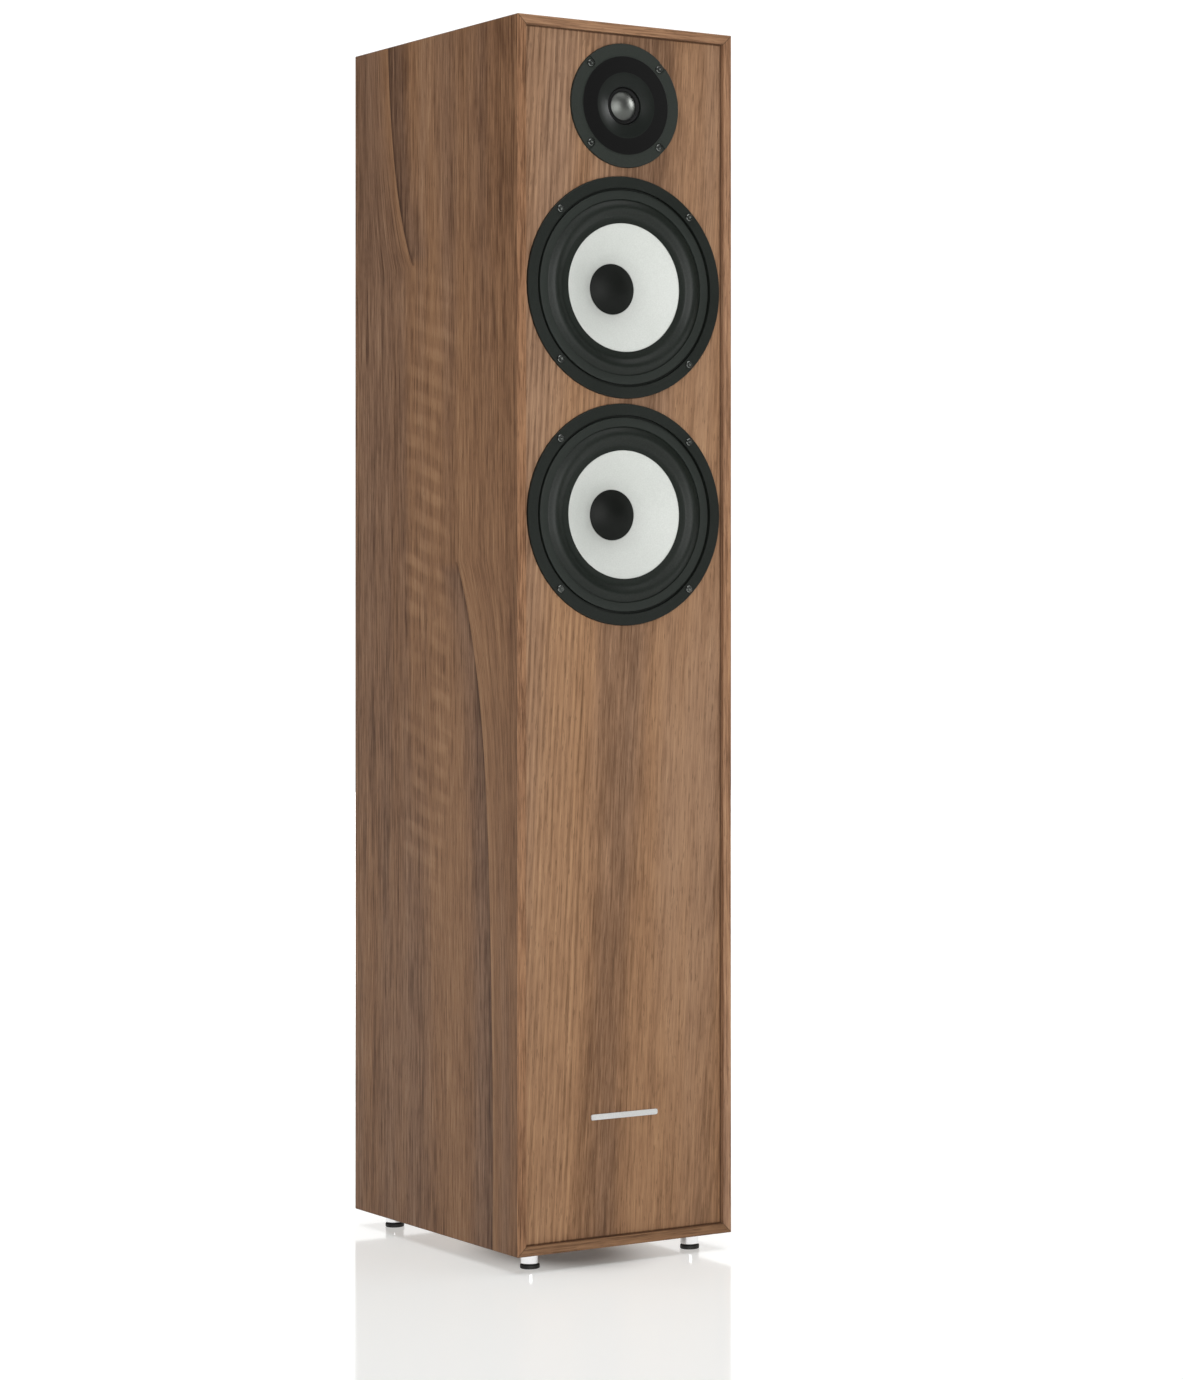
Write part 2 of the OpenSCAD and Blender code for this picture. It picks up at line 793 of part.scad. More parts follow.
module foot_inserts() {
    r = stud_r + running;
    color("gold") placed() at_feet() ring(r, r + insert_wall, 0, stud_hole - 2);
}

// ---------- Inside ----------

// The corners of the crossover board, in from its edges
module at_board_corners() {
    m = 6;
    for (x = [-1, 1], y = [m, board_d - m])
        translate([x * (board_w / 2 - m), board_y + y, 0]) children();
}

module crossover_board() {
    r = 3;
    resistor = [10, 48, 9];
    color("darkgreen") placed() {
        difference() {
            translate([-board_w / 2, board_y, board_z]) cube([board_w, board_d, board_t]);
            at_board_corners() cylinder(r = 1.6, h = 2 * board_z);
        }
        at_board_corners() ring(1.6, r, panel_t, board_z - panel_t);
        for (i = [0:1]) translate([6 + i * 14, board_y + 90, board_z + board_t])
            cube(resistor);
    }
}

module crossover_coils() {
    top = board_z + board_t;
    color("chocolate") placed() {
        translate([-22, board_y + 36, 0]) ring(12, 26, top, 24);
        translate([32, board_y + 32, 0]) ring(9, 19, top, 16);
        translate([-24, board_y + 112, 0]) ring(10, 21, top, 18);
    }
}

module crossover_capacitors() {
    top = board_z + board_t;
    color("firebrick") placed() {
        translate([24, board_y + 62, top + 10]) rotate([0, 90, 0])
            cylinder(r = 9.5, h = 50, center = true);
        translate([24, board_y + 82, top + 8]) rotate([0, 90, 0])
            cylinder(r = 7.5, h = 40, center = true);
        translate([-24, board_y + 76, top + 9]) rotate([0, 90, 0])
            cylinder(r = 8.5, h = 44, center = true);
    }
}

// Unit vector along v
function unit(v) = v / norm(v);

// The direction of a cable at point i: the mean of the runs before and after it
function heading(p, i) = unit(
    (i > 0 ? unit(p[i] - p[i - 1]) : [0, 0, 0])
    + (i < len(p) - 1 ? unit(p[i + 1] - p[i]) : [0, 0, 0])
);

// A cable of radius cable_r swept along the points
module cable(points) {
    sides = 10;
    last = len(points) - 1;
    across = unit(cross(points[1] - points[0], points[last] - points[1]));
    rings = [for (i = [0:last]) let (t = heading(points, i), u = unit(cross(t, cross(across, t))),
        v = cross(t, u)) for (k = [0:sides - 1])
            points[i] + cable_r * (cos(k * 360 / sides) * u + sin(k * 360 / sides) * v)];
    walls = [for (i = [0:last - 1], k = [0:sides - 1]) let (j = (k + 1) % sides)
        [i * sides + k, i * sides + j, (i + 1) * sides + j, (i + 1) * sides + k]];
    start_cap = [for (k = [sides - 1:-1:0]) k];
    end_cap = [for (k = [0:sides - 1]) last * sides + k];
    polyhedron(rings, concat([start_cap, end_cap], walls));
}

// Each driver's cable climbs beside the braces and crosses to its magnet's side
module driver_cable(i, z, reach_x, reach_y) {
    start = board_y + board_d - 22 - i * 14;
    x = cable_x + i * (2 * cable_r + 0.4);
    cable([
        [x, start, board_z + board_t + 0.2], [x, start, board_z + 30], [x, cable_y, board_z + 60],
        [x, cable_y, z - 30], [reach_x, reach_y, z]
    ]);
}

module wiring() {
    color("darkorange") placed() {
        driver_cable(0, tweeter_z, -t_magnet_r - 4, 40);
        driver_cable(1, upper_woofer_z, -magnet_r - 3, 62);
        driver_cable(2, lower_woofer_z, -magnet_r - 3, 62);
        for (side = [-1, 1]) cable([
            [side * post_pitch / 2, post_in_y - 0.2, cup_z],
            [side * post_pitch / 2, post_in_y - 6, cup_z],
            [side * post_pitch / 2, post_in_y - 14, cup_z - 12],
            [side * 20, board_y + board_d - 6, board_z + 24],
            [side * 20, board_y + board_d - 6, board_z + board_t + 0.2]
        ]);
    }
}

module panel_screws() {
    color("dimgray") placed() {
        at_cup_screws(0) {
            translate([0, 0, rear_face_y]) difference() {
                cylinder(r1 = 3, r2 = 2.4, h = rear_head_h);
                translate([0, 0, rear_head_h - 0.6]) cylinder(r = 1, h = cut, $fn = 6);
            }
            translate([0, 0, rear_face_y - 14]) cylinder(r = 1.4, h = 14 + 0.1);
        }
        at_board_corners() {
            translate([0, 0, board_z + board_t]) cylinder(r1 = 3, r2 = 2.4, h = 1.8);
            translate([0, 0, panel_t + 0.2]) cylinder(r = 1.4, h = board_z + board_t - panel_t);
        }
    }
}

module damping_wadding() {
    r = 22;
    size = [150, 110, 150];
    z = brace_zs[0] + brace_t / 2 + 0.3;
    color("whitesmoke") placed()
        translate([0, baffle_back_y + 105, z + size[2] / 2])
        hull() for (x = [-1, 1], y = [-1, 1], k = [-1, 1])
            translate([x * (size[0] / 2 - r), y * (size[1] / 2 - r), k * (size[2] / 2 - r)])
                sphere(r = r, $fn = 24);
}

// ---------- Assembly ----------

side_panel(-1);  // side_panel_left
side_panel(1);  // side_panel_right
top_panel();
bottom_panel();
front_baffle();
back_panel();
window_braces();
badge_plate();
basket(upper_woofer_z);  // upper_basket
gasket(upper_woofer_z);  // upper_gasket
surround(upper_woofer_z);  // upper_surround
cone(upper_woofer_z);  // upper_cone
dust_cap(upper_woofer_z);  // upper_dust_cap
voice_coil(upper_woofer_z);  // upper_voice_coil
spider(upper_woofer_z);  // upper_spider
top_plate(upper_woofer_z);  // upper_top_plate
magnet(upper_woofer_z);  // upper_magnet
yoke(upper_woofer_z);  // upper_yoke
basket(lower_woofer_z);  // lower_basket
gasket(lower_woofer_z);  // lower_gasket
surround(lower_woofer_z);  // lower_surround
cone(lower_woofer_z);  // lower_cone
dust_cap(lower_woofer_z);  // lower_dust_cap
voice_coil(lower_woofer_z);  // lower_voice_coil
spider(lower_woofer_z);  // lower_spider
top_plate(lower_woofer_z);  // lower_top_plate
magnet(lower_woofer_z);  // lower_magnet
yoke(lower_woofer_z);  // lower_yoke
driver_screws();
tweeter_faceplate();
tweeter_surround();
tweeter_dome();
tweeter_voice_coil();
tweeter_top_plate();
tweeter_magnet();
tweeter_yoke();
port_tube();
terminal_cup();
binding_posts();
clamp_washer(-1);  // clamp_washer_red
clamp_washer(1);  // clamp_washer_black
knob_insert(-1);  // knob_insert_red
knob_insert(1);  // knob_insert_black
knob(-1, "red");  // knob_red
knob(1, "black");  // knob_black
foot_pad(-1, -1);  // foot_pad_front_left
foot_pad(1, -1);  // foot_pad_front_right
foot_pad(-1, 1);  // foot_pad_rear_left
foot_pad(1, 1);  // foot_pad_rear_right
foot_sleeve(-1, -1);  // foot_sleeve_front_left
foot_sleeve(1, -1);  // foot_sleeve_front_right
foot_sleeve(-1, 1);  // foot_sleeve_rear_left
foot_sleeve(1, 1);  // foot_sleeve_rear_right
foot_inserts();
crossover_board();
crossover_coils();
crossover_capacitors();
wiring();
panel_screws();
damping_wadding();
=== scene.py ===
"""The looks of a floorstanding speaker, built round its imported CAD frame."""

from math import cos, pi, radians, sin, tan

import bmesh
import bpy
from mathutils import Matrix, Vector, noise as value_noise
import numpy as np


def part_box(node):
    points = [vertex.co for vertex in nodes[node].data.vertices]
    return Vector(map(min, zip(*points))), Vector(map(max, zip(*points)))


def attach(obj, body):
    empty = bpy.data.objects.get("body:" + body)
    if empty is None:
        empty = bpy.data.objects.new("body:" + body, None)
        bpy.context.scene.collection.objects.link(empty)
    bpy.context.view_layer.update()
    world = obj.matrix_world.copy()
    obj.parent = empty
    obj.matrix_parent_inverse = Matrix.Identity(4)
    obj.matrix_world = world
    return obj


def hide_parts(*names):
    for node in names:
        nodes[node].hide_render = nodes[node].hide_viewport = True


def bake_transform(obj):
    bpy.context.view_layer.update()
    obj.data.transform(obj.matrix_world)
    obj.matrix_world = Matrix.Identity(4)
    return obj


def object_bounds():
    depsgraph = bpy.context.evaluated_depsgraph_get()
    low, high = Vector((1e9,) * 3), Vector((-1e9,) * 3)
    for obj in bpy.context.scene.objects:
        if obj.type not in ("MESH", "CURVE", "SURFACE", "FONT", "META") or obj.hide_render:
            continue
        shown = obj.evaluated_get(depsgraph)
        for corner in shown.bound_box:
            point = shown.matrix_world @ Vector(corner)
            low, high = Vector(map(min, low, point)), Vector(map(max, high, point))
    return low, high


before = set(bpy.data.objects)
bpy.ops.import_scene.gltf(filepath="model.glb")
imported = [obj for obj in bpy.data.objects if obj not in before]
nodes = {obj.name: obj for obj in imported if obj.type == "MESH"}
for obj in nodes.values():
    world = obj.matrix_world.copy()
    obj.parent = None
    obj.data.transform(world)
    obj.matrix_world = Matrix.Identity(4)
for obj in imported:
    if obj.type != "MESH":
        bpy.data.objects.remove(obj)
cad_low, cad_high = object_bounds()
scene = bpy.context.scene
MM = 0.001


def axis_of(node):
    """A point on the line along Y through the middle of the node."""
    low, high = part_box(node)
    return ((low[0] + high[0]) / 2, 0, (low[2] + high[2]) / 2)


# ---------- Camera, floor and light ----------

# The level camera, at the photograph's angle: place in metres, lens in mm
CAMERA_PLACE = (-1.4892, -2.6510, 0.5376)
CAMERA_YAW = radians(35.79)
CAMERA_LENS = 93.8
CAMERA_SHIFT = (-0.2573, -0.0675)

# The room is dimmer towards the front right, where the black parts face: its brightness
# falls from BRIGHT to DIM as a direction's share of DIM_WAY rises between DIM_SHARES
DIM_WAY = (0.81, -0.59, 0)
DIM_SHARES = (-0.4, 0.7)
BRIGHT, DIM = 0.34, 0.16

# These lights are (place, aim, size, power), in metres and watts
OVERHEAD = ((0, -0.2, 3.2), (0, 0, 0), (3.5, 3.5), 74)
SIDE_CARD = ((2.55, -0.85, 1.75), (0, -0.14, 0.95), (0.8, 1.1), 60)
# Each soft box is (name, place, height of its aim on the cabinet's axis, size, power)
SOFT_BOXES = (
    ("front_box", (-0.85, -2.5, 1.0), 0.4, (1.5, 2.0), 47),
    ("back_box", (0.6, 3.0, 2.0), 0.6, (2.0, 1.6), 24),
    ("right_box", (3.0, 0.7, 1.5), 0.5, (1.5, 1.5), 20),
)
# The cards round the room that only the floor's sheen shows
ROOM_SIDES, ROOM_REACH = 6, 9.0
ROOM_CARD_HEIGHT, ROOM_CARD_TALL, ROOM_CARD_POWER = 1.2, 2.8, 135

FLOOR_RADIUS, BACKDROP_RADIUS = 7, 14
# The floor's glow in the painted contact shadow under the front of the cabinet, beside it, and
# added far away
GLOW_IN_PAINTED_SHADOW, GLOW_BESIDE, GLOW_FAR = 0.08, 0.46, 0.54
# The painted contact shadow's centre, how many times deeper than wide it is, and where it fades
PAINTED_SHADOW_CENTRE = (-0.02, -0.07)
PAINTED_SHADOW_DEEPER = 1.4
PAINTED_SHADOW_FADE = (0.035, 0.115)
FAR_FADE = (0.8, 2.2)


def make_camera():
    data = bpy.data.cameras.new("camera")
    data.lens = CAMERA_LENS
    data.shift_x, data.shift_y = CAMERA_SHIFT
    data.clip_end = 100
    camera = bpy.data.objects.new("camera", data)
    camera.location = CAMERA_PLACE
    camera.rotation_euler = (pi / 2, 0, -CAMERA_YAW)
    scene.collection.objects.link(camera)
    scene.camera = camera


def area_light(name, place, aim, size, power):
    data = bpy.data.lights.new(name, "AREA")
    data.shape = "RECTANGLE"
    data.size, data.size_y = size
    data.energy = power
    light = bpy.data.objects.new(name, data)
    light.location = place
    direction = Vector(aim) - Vector(place)
    light.rotation_euler = direction.to_track_quat("-Z", "Y").to_euler()
    light.visible_camera = False
    scene.collection.objects.link(light)
    return light


def link_light(light, state, *things):
    """The light reaches only these objects (INCLUDE), or all but these (EXCLUDE)."""
    group = bpy.data.collections.new(light.name + "_reach")
    light.light_linking.receiver_collection = group
    for index, thing in enumerate(things):
        group.objects.link(thing)
        group.collection_objects[index].light_linking.link_state = state


def make_world():
    world = bpy.data.worlds.new("studio")
    scene.world = world
    world.use_nodes = True
    tree = world.node_tree
    coords = tree.nodes.new("ShaderNodeTexCoord")
    facing = tree.nodes.new("ShaderNodeVectorMath")
    facing.operation = "DOT_PRODUCT"
    facing.inputs[1].default_value = DIM_WAY
    tree.links.new(coords.outputs["Generated"], facing.inputs[0])
    dimmed = tree.nodes.new("ShaderNodeMapRange")
    for index, value in enumerate((*DIM_SHARES, BRIGHT, DIM), 1):
        dimmed.inputs[index].default_value = value
    tree.links.new(facing.outputs["Value"], dimmed.inputs[0])
    tree.links.new(dimmed.outputs[0], tree.nodes["Background"].inputs["Strength"])


def make_lights(floor):
    area_light("overhead", *OVERHEAD)
    # The polished floor doesn't mirror the soft boxes, so it has no bright shapes in it
    for name, place, aim_height, size, power in SOFT_BOXES:
        box = area_light(name, place, (0, 0, aim_height), size, power)
        link_light(box, "EXCLUDE", floor)
    # A card that only the tweeter's gloss shows
    side_card = area_light("side_card", *SIDE_CARD)
    side_card.visible_diffuse = False
    link_light(side_card, "INCLUDE", nodes["tweeter_faceplate"], nodes["tweeter_dome"])
    # Cards side by side all round, so that the floor's sheen has no edge from any view
    middle = (0, 0, ROOM_CARD_HEIGHT)
    size = (2 * ROOM_REACH * tan(pi / ROOM_SIDES), ROOM_CARD_TALL)
    for index in range(ROOM_SIDES):
        turn = 2 * pi * index / ROOM_SIDES
        place = (ROOM_REACH * sin(turn), ROOM_REACH * cos(turn), ROOM_CARD_HEIGHT)
        card = area_light(f"room_card_{index}", place, middle, size, ROOM_CARD_POWER)
        card.visible_diffuse = False
        link_light(card, "INCLUDE", floor)


def make_stage():
    """A round floor inside a white dome that only the camera sees. Returns the floor."""
    bpy.ops.mesh.primitive_circle_add(vertices=96, radius=FLOOR_RADIUS, fill_type="NGON")
    floor = bpy.context.object
    floor.name = "floor"
    floor.data.materials.append(floor_material())
    bpy.ops.mesh.primitive_uv_sphere_add(segments=48, ring_count=24, radius=BACKDROP_RADIUS)
    backdrop = bpy.context.object
    backdrop.name = "backdrop"
    backdrop.data.materials.append(backdrop_material())
    backdrop.visible_diffuse = False
    backdrop.visible_glossy = False
    backdrop.visible_transmission = False
    backdrop.visible_shadow = False
    return floor


# ---------- Node graphs ----------


def is_socket(value):
    return isinstance(value, bpy.types.NodeSocket)


MATERIALS = {}


class Graph:
    """A new material's node tree, with short calls for the nodes used here.

    MATERIALS holds the material under its own name."""

    def __init__(self, name):
        self.material = MATERIALS[name] = bpy.data.materials.new(name)
        self.material.use_nodes = True
        self.tree = self.material.node_tree
        self.shader = self.tree.nodes["Principled BSDF"]
        self.place = self.tree.nodes.new("ShaderNodeTexCoord").outputs["Object"]

    def node(self, kind, settings=None, **inputs):
        made = self.tree.nodes.new(kind)
        for key, value in (settings or {}).items():
            setattr(made, key, value)
        for key, value in inputs.items():
            self.put(made, key, value)
        return made

    def put(self, node, key, value):
        """Sets or links the node's socket called key, or the one numbered 3 for _3."""
        socket = node.inputs[int(key[1:]) if key[0] == "_" and key[1:].isdigit() else key]
        if is_socket(value):
            self.tree.links.new(value, socket)
        else:
            socket.default_value = value

    def shade(self, **inputs):
        """Sets or links the shader's own sockets; a _ in a name stands for a space."""
        for key, value in inputs.items():
            self.put(self.shader, key.replace("_", " "), value)

    def math(self, operation, a, b=0.0, c=0.0):
        return self.node(
            "ShaderNodeMath", {"operation": operation}, _0=a, _1=b, _2=c
        ).outputs[0]

    def add(self, *terms):
        total = terms[0]
        for term in terms[1:]:
            total = self.math("ADD", total, term)
        return total

    def weighted(self, start, *pairs):
        """start plus the sum of weight times (value less a half) over the pairs."""
        total = start - sum(weight for weight, _ in pairs) / 2
        for weight, value in pairs:
            total = self.math("MULTIPLY_ADD", value, weight, total)
        return total

    def scaled(self, scale, offset, place):
        return self.node(
            "ShaderNodeMapping", Vector=place, Scale=scale, Location=offset
        ).outputs[0]

    def noise(self, place, scale=1.0, detail=3.0, rough=0.5, warp=0.0):
        return self.node(
            "ShaderNodeTexNoise", Vector=place, Scale=scale, Detail=detail, Roughness=rough,
            Distortion=warp,
        ).outputs["Fac"]

    def ramp(self, value, *stops):
        """stops are (position, grey or colour)."""
        made = self.node("ShaderNodeValToRGB", _0=value)
        elements = made.color_ramp.elements
        while len(elements) < len(stops):
            elements.new(1.0)
        for element, (position, colour) in zip(elements, stops):
            element.position = position
            grey = isinstance(colour, (int, float))
            element.color = (colour,) * 3 + (1,) if grey else tuple(colour) + (1,)
        return made.outputs["Color"]

    def step(self, value, low, high, at_low=0.0, at_high=1.0):
        """at_low below low, at_high above high, and smooth between."""
        return self.node(
            "ShaderNodeMapRange", {"interpolation_type": "SMOOTHSTEP"}, _0=value,
            _1=low, _2=high, _3=at_low, _4=at_high,
        ).outputs[0]

    def mix(self, factor, a, b, blend="MIX"):
        made = self.tree.nodes.new("ShaderNodeMix")
        made.data_type = "RGBA"
        made.blend_type = blend
        for index, value in ((0, factor), (6, a), (7, b)):
            if is_socket(value):
                self.tree.links.new(value, made.inputs[index])
            else:
                made.inputs[index].default_value = (
                    value if isinstance(value, (int, float)) else tuple(value) + (1,)
                )
        return made.outputs[2]

    def split(self, place=None):
        place = self.place if place is None else place
        return self.node("ShaderNodeSeparateXYZ", Vector=place).outputs

    def join(self, x, y=0.0, z=0.0):
        return self.node("ShaderNodeCombineXYZ", X=x, Y=y, Z=z).outputs[0]

    def length(self, a, b):
        """Length of the vector whose parts are a and b."""
        return self.math("SQRT", self.math("MULTIPLY_ADD", a, a, self.math("MULTIPLY", b, b)))

    def radius(self, centre):
        """Distance from the line along Y through centre."""
        xyz = self.split()
        dx = self.math("SUBTRACT", xyz["X"], centre[0])
        dz = self.math("SUBTRACT", xyz["Z"], centre[2])
        return self.length(dx, dz)

    def bump(self, height, distance, strength=1.0):
        made = self.node(
            "ShaderNodeBump", Height=height, Distance=distance, Strength=strength
        )
        self.tree.links.new(made.outputs[0], self.shader.inputs["Normal"])


def floor_material():
    g = Graph("studio_floor")
    worn = g.noise(g.place, 3.0)
    xyz = g.split()
    x, y = xyz["X"], xyz["Y"]
    # The floor's glow drops under the front of the cabinet: a painted contact shadow
    wide = g.math("MULTIPLY_ADD", x, PAINTED_SHADOW_DEEPER, -PAINTED_SHADOW_DEEPER * PAINTED_SHADOW_CENTRE[0])
    deep = g.math("ADD", y, -PAINTED_SHADOW_CENTRE[1])
    glow = g.add(
        g.step(g.length(wide, deep), *PAINTED_SHADOW_FADE, GLOW_IN_PAINTED_SHADOW, GLOW_BESIDE),
        g.step(g.length(x, y), *FAR_FADE, 0.0, GLOW_FAR),
    )
    g.shade(
        Base_Color=(0.885, 0.895, 0.89, 1),
        Roughness=g.ramp(worn, (0.3, 0.07), (0.7, 0.10)),
        IOR=1.12,
        Emission_Color=(0.985, 1, 0.985, 1),
        Emission_Strength=glow,
    )
    return g.material


def backdrop_material():
    g = Graph("studio_backdrop")
    g.shade(Base_Color=(0, 0, 0, 1), Emission_Color=(1, 1, 1, 1), Emission_Strength=1.1)
    return g.material


# ---------- Walnut ----------

# Linear colours of the veneer, from its pores to its lightest early wood
WOOD_PORE = (0.085, 0.041, 0.020)
WOOD_DARK = (0.165, 0.083, 0.041)
WOOD_MIDDLE = (0.280, 0.150, 0.078)
WOOD_LIGHT = (0.365, 0.205, 0.107)
WOOD_PALE = (0.450, 0.268, 0.145)
# What the colour is multiplied by in its greyer and its more golden parts
WOOD_GREY = (0.97, 1.03, 1.12)
WOOD_GOLD = (1.03, 1.01, 0.94)
# How much the bands, the lines and the fibres show, where a panel doesn't say
WOOD_WEIGHTS = (0.42, 0.45, 1.0, 1.2)
CABINET_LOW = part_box("bottom_panel")[0].z
# How far the grain wanders from side to side
WANDER = 14 * MM
# How far from a mitre the joint's dark line fades, and how far from an inset panel's edge its
# painted shadow line fades
MITRE_FADE = (0.2 * MM, 0.7 * MM)
GAP_SHADOW_FADE = (0.5 * MM, 1.4 * MM)
# The cross ripples' distance from crest to crest, and how much they lean
RIPPLE_PITCH, RIPPLE_LEAN = 20 * MM, -0.27
# How far along the grain a band of ripples and a stripe take to come and go
RIPPLE_FADE, STRIPE_FADE = 0.2, 0.12
# The distance from one growth line to the next
GROWTH_PITCH = 5.4 * MM


def walnut(
    name, across, along, seed, tone, weights=WOOD_WEIGHTS, flames=(), extra=(), slant=0.0,
    mitred=True,
):
    """Satin walnut veneer whose grain runs along one axis and varies across another.

    tone is what the colour is multiplied by, and weights are how much the broad bands,
    the narrow bands, the lines and the fibres show. flames part the grain, and extra are
    functions that each return a change of shade, from the material, the place across
    and the place along."""
    g = Graph(name)
    xyz = g.split()
    u, v = xyz[across], xyz[along]
    depth = next(xyz[axis] for axis in "XYZ" if axis not in (across, along))
    wander = g.noise(g.scaled((5, 1.3, 5), seed, g.join(u, v, depth)), 1.0, 2.0)
    u = g.math("MULTIPLY_ADD", v, -slant, g.math("MULTIPLY_ADD", wander, WANDER, u))
    changes = [change(g, u, v) for change in extra]
    grey = 0.0
    for flame in flames:
        u, change, inside = part_grain(g, u, v, **flame)
        changes.append(change)
        grey = g.math("MAXIMUM", grey, inside)
    grain = g.join(u, v, depth)

    def streaks(across_scale, along_scale, detail, rough=0.5):
        """Noise drawn out along the grain. Its scales are per metre."""
        scale = (across_scale, along_scale, across_scale)
        return g.noise(g.scaled(scale, seed, grain), 1.0, detail, rough)

    broad = streaks(11, 0.6, 2.0)
    bands = streaks(110, 2.5, 2.0)
    lines = streaks(380, 11.0, 2.0, 0.6)
    fibres = streaks(950, 30.0, 3.0, 0.7)
    mottle = g.noise(g.scaled((90, 22, 90), seed, grain), 1.0, 3.0, 0.6)
    dashes = streaks(1000, 70.0, 2.0, 0.6)
    shade = g.weighted(0.5, *zip(weights, (broad, bands, lines, fibres)), (0.35, mottle))
    for change in changes:
        shade = g.math("ADD", shade, change)
    colour = g.ramp(
        shade, (0.0, WOOD_PORE), (0.25, WOOD_DARK), (0.5, WOOD_MIDDLE), (0.75, WOOD_LIGHT),
        (1.0, WOOD_PALE),
    )
    pores = g.step(dashes, 0.33, 0.40, 0.45, 0.0)
    colour = g.mix(pores, colour, WOOD_PORE)
    hue = g.noise(g.scaled((16, 1.0, 16), seed, grain), 1.0, 2.0)
    hue = g.math("SUBTRACT", g.step(hue, 0.35, 0.65), grey)
    tint = g.mix(hue, WOOD_GREY, WOOD_GOLD)
    colour = g.mix(1.0, colour, tint, "MULTIPLY")
    colour = g.mix(1.0, colour, tone, "MULTIPLY")
    if mitred:
        line = mitre_line(g)
        colour = g.mix(1.0, colour, g.join(line, line, line), "MULTIPLY")
    relief = g.weighted(0.5, (0.6, fibres), (-1.0, pores))
    g.shade(
        Base_Color=colour,
        Roughness=g.step(fibres, 0.2, 0.8, 0.60, 0.48),
        Specular_IOR_Level=0.2,
    )
    g.bump(relief, 0.08 * MM, 0.5)


def mitre_line(g):
    """Darkens the mitre joints, the planes at 45 degrees from the cabinet's four long edges."""
    xyz = g.split()
    from_side = g.math("SUBTRACT", cad_high.x, g.math("ABSOLUTE", xyz["X"]))
    from_bottom = g.math("SUBTRACT", xyz["Z"], CABINET_LOW)
    from_top = g.math("SUBTRACT", cad_high.z, xyz["Z"])
    from_end = g.math("MINIMUM", from_bottom, from_top)
    gap = g.math("ABSOLUTE", g.math("SUBTRACT", from_end, from_side))
    return g.step(gap, *MITRE_FADE, 0.45, 1.0)


def part_grain(g, u, v, tip, edge, up, ends, dark=0.13):
    """Parts the grain along one sharp edge of a cathedral flame, and returns the new
    place across the grain, the change of shade and where the flame's inside is.

    tip is the flame's point, across and along, and edge is its (width, reach). The
    panel ends at ends[0] on the edge's side and at ends[1] on the other. up is 1 for a
    flame that opens upwards and -1 for one that opens downwards."""
    side = 1 if ends[0] > ends[1] else -1
    width, reach = edge
    p = g.math("MULTIPLY", g.math("SUBTRACT", u, tip[0]), side)
    q = g.math("MAXIMUM", g.math("MULTIPLY", g.math("SUBTRACT", v, tip[1]), up), 0.0)
    fade = g.math("EXPONENT", g.math("MULTIPLY", q, -1 / reach))
    spread = g.math("MULTIPLY_ADD", fade, -width, width)
    past = g.math("SUBTRACT", p, spread)
    inside = g.math("LESS_THAN", past, 0.0)
    # Grain outside is squeezed into the room left between the edge and the panel's end
    room = abs(ends[0] - tip[0])
    share = g.math("DIVIDE", past, g.math("SUBTRACT", room, spread))
    parted = g.mix(inside, g.join(g.math("MULTIPLY", share, room)), g.join(p))
    moved = g.math("MULTIPLY_ADD", g.split(parted)["X"], side, tip[0])
    opened = g.step(q, 0.0, 12 * MM)
    body = g.math("MULTIPLY", g.step(past, -45 * MM, -2 * MM), inside)
    body = g.math("MULTIPLY", body, opened)
    line = g.math("MULTIPLY", g.step(past, -6 * MM, -0.4 * MM), inside)
    line = g.math("MULTIPLY", line, g.step(q, 0.0, 0.25, 1.0, 0.15))
    line = g.math("MULTIPLY", line, g.step(q, 0.0, 2 * MM))
    rim = g.math(
        "MULTIPLY", g.step(past, 0.0, 1 * MM), g.step(past, 2 * MM, 8 * MM, 1.0, 0.0)
    )
    change = g.math("MULTIPLY", body, -dark)
    change = g.math("MULTIPLY_ADD", line, -0.34, change)
    change = g.math("MULTIPLY_ADD", g.math("MULTIPLY", rim, opened), 0.09, change)
    return moved, change, body


def between(g, value, low, high, fade):
    """1 between low and high and 0 past them, which it reaches over the length fade."""
    rise = g.step(value, low, low + fade)
    return g.math("MULTIPLY", rise, g.step(value, high - fade, high, 1.0, 0.0))


def curl_and_sheen(across, width, low, high, amount):
    """Cross ripples of curly figure in one band of the veneer, strongest at its middle height.
    Their lighter crests are partly the figure and partly painted sheen.
    """

    def change(g, u, v):
        ends = between(g, v, low, high, RIPPLE_FADE)
        place = g.join(u, v)
        warp = g.noise(g.scaled((15, 9, 0), (3, 1, 0), place), 1.0, 2.0)
        ragged = g.noise(g.scaled((10, 45, 0), (6, 5, 0), place), 1.0, 1.0)
        reach = g.math("DIVIDE", g.math("SUBTRACT", u, across), width)
        reach = g.math("MULTIPLY_ADD", ragged, 2.2, g.math("SUBTRACT", reach, 1.1))
        band = g.step(g.math("ABSOLUTE", reach), 0.3, 1.1, 1.0, 0.0)
        slope = g.math("MULTIPLY_ADD", u, RIPPLE_LEAN, v)
        phase = g.math("MULTIPLY", slope, 2 * pi / RIPPLE_PITCH)
        phase = g.math("MULTIPLY_ADD", warp, 5.0, phase)
        patches = g.noise(g.scaled((26, 10, 0), (8, 2, 0), place), 1.0, 1.0)
        # The lighter crests are the curl's figure, partly painted sheen
        crest = g.step(g.math("SINE", phase), -0.8, 1.0)
        wave = g.math("MULTIPLY", crest, g.step(patches, 0.25, 0.7))
        wave = g.math("MULTIPLY", wave, band)
        return g.math("MULTIPLY", wave, g.math("MULTIPLY", ends, amount))

    return change


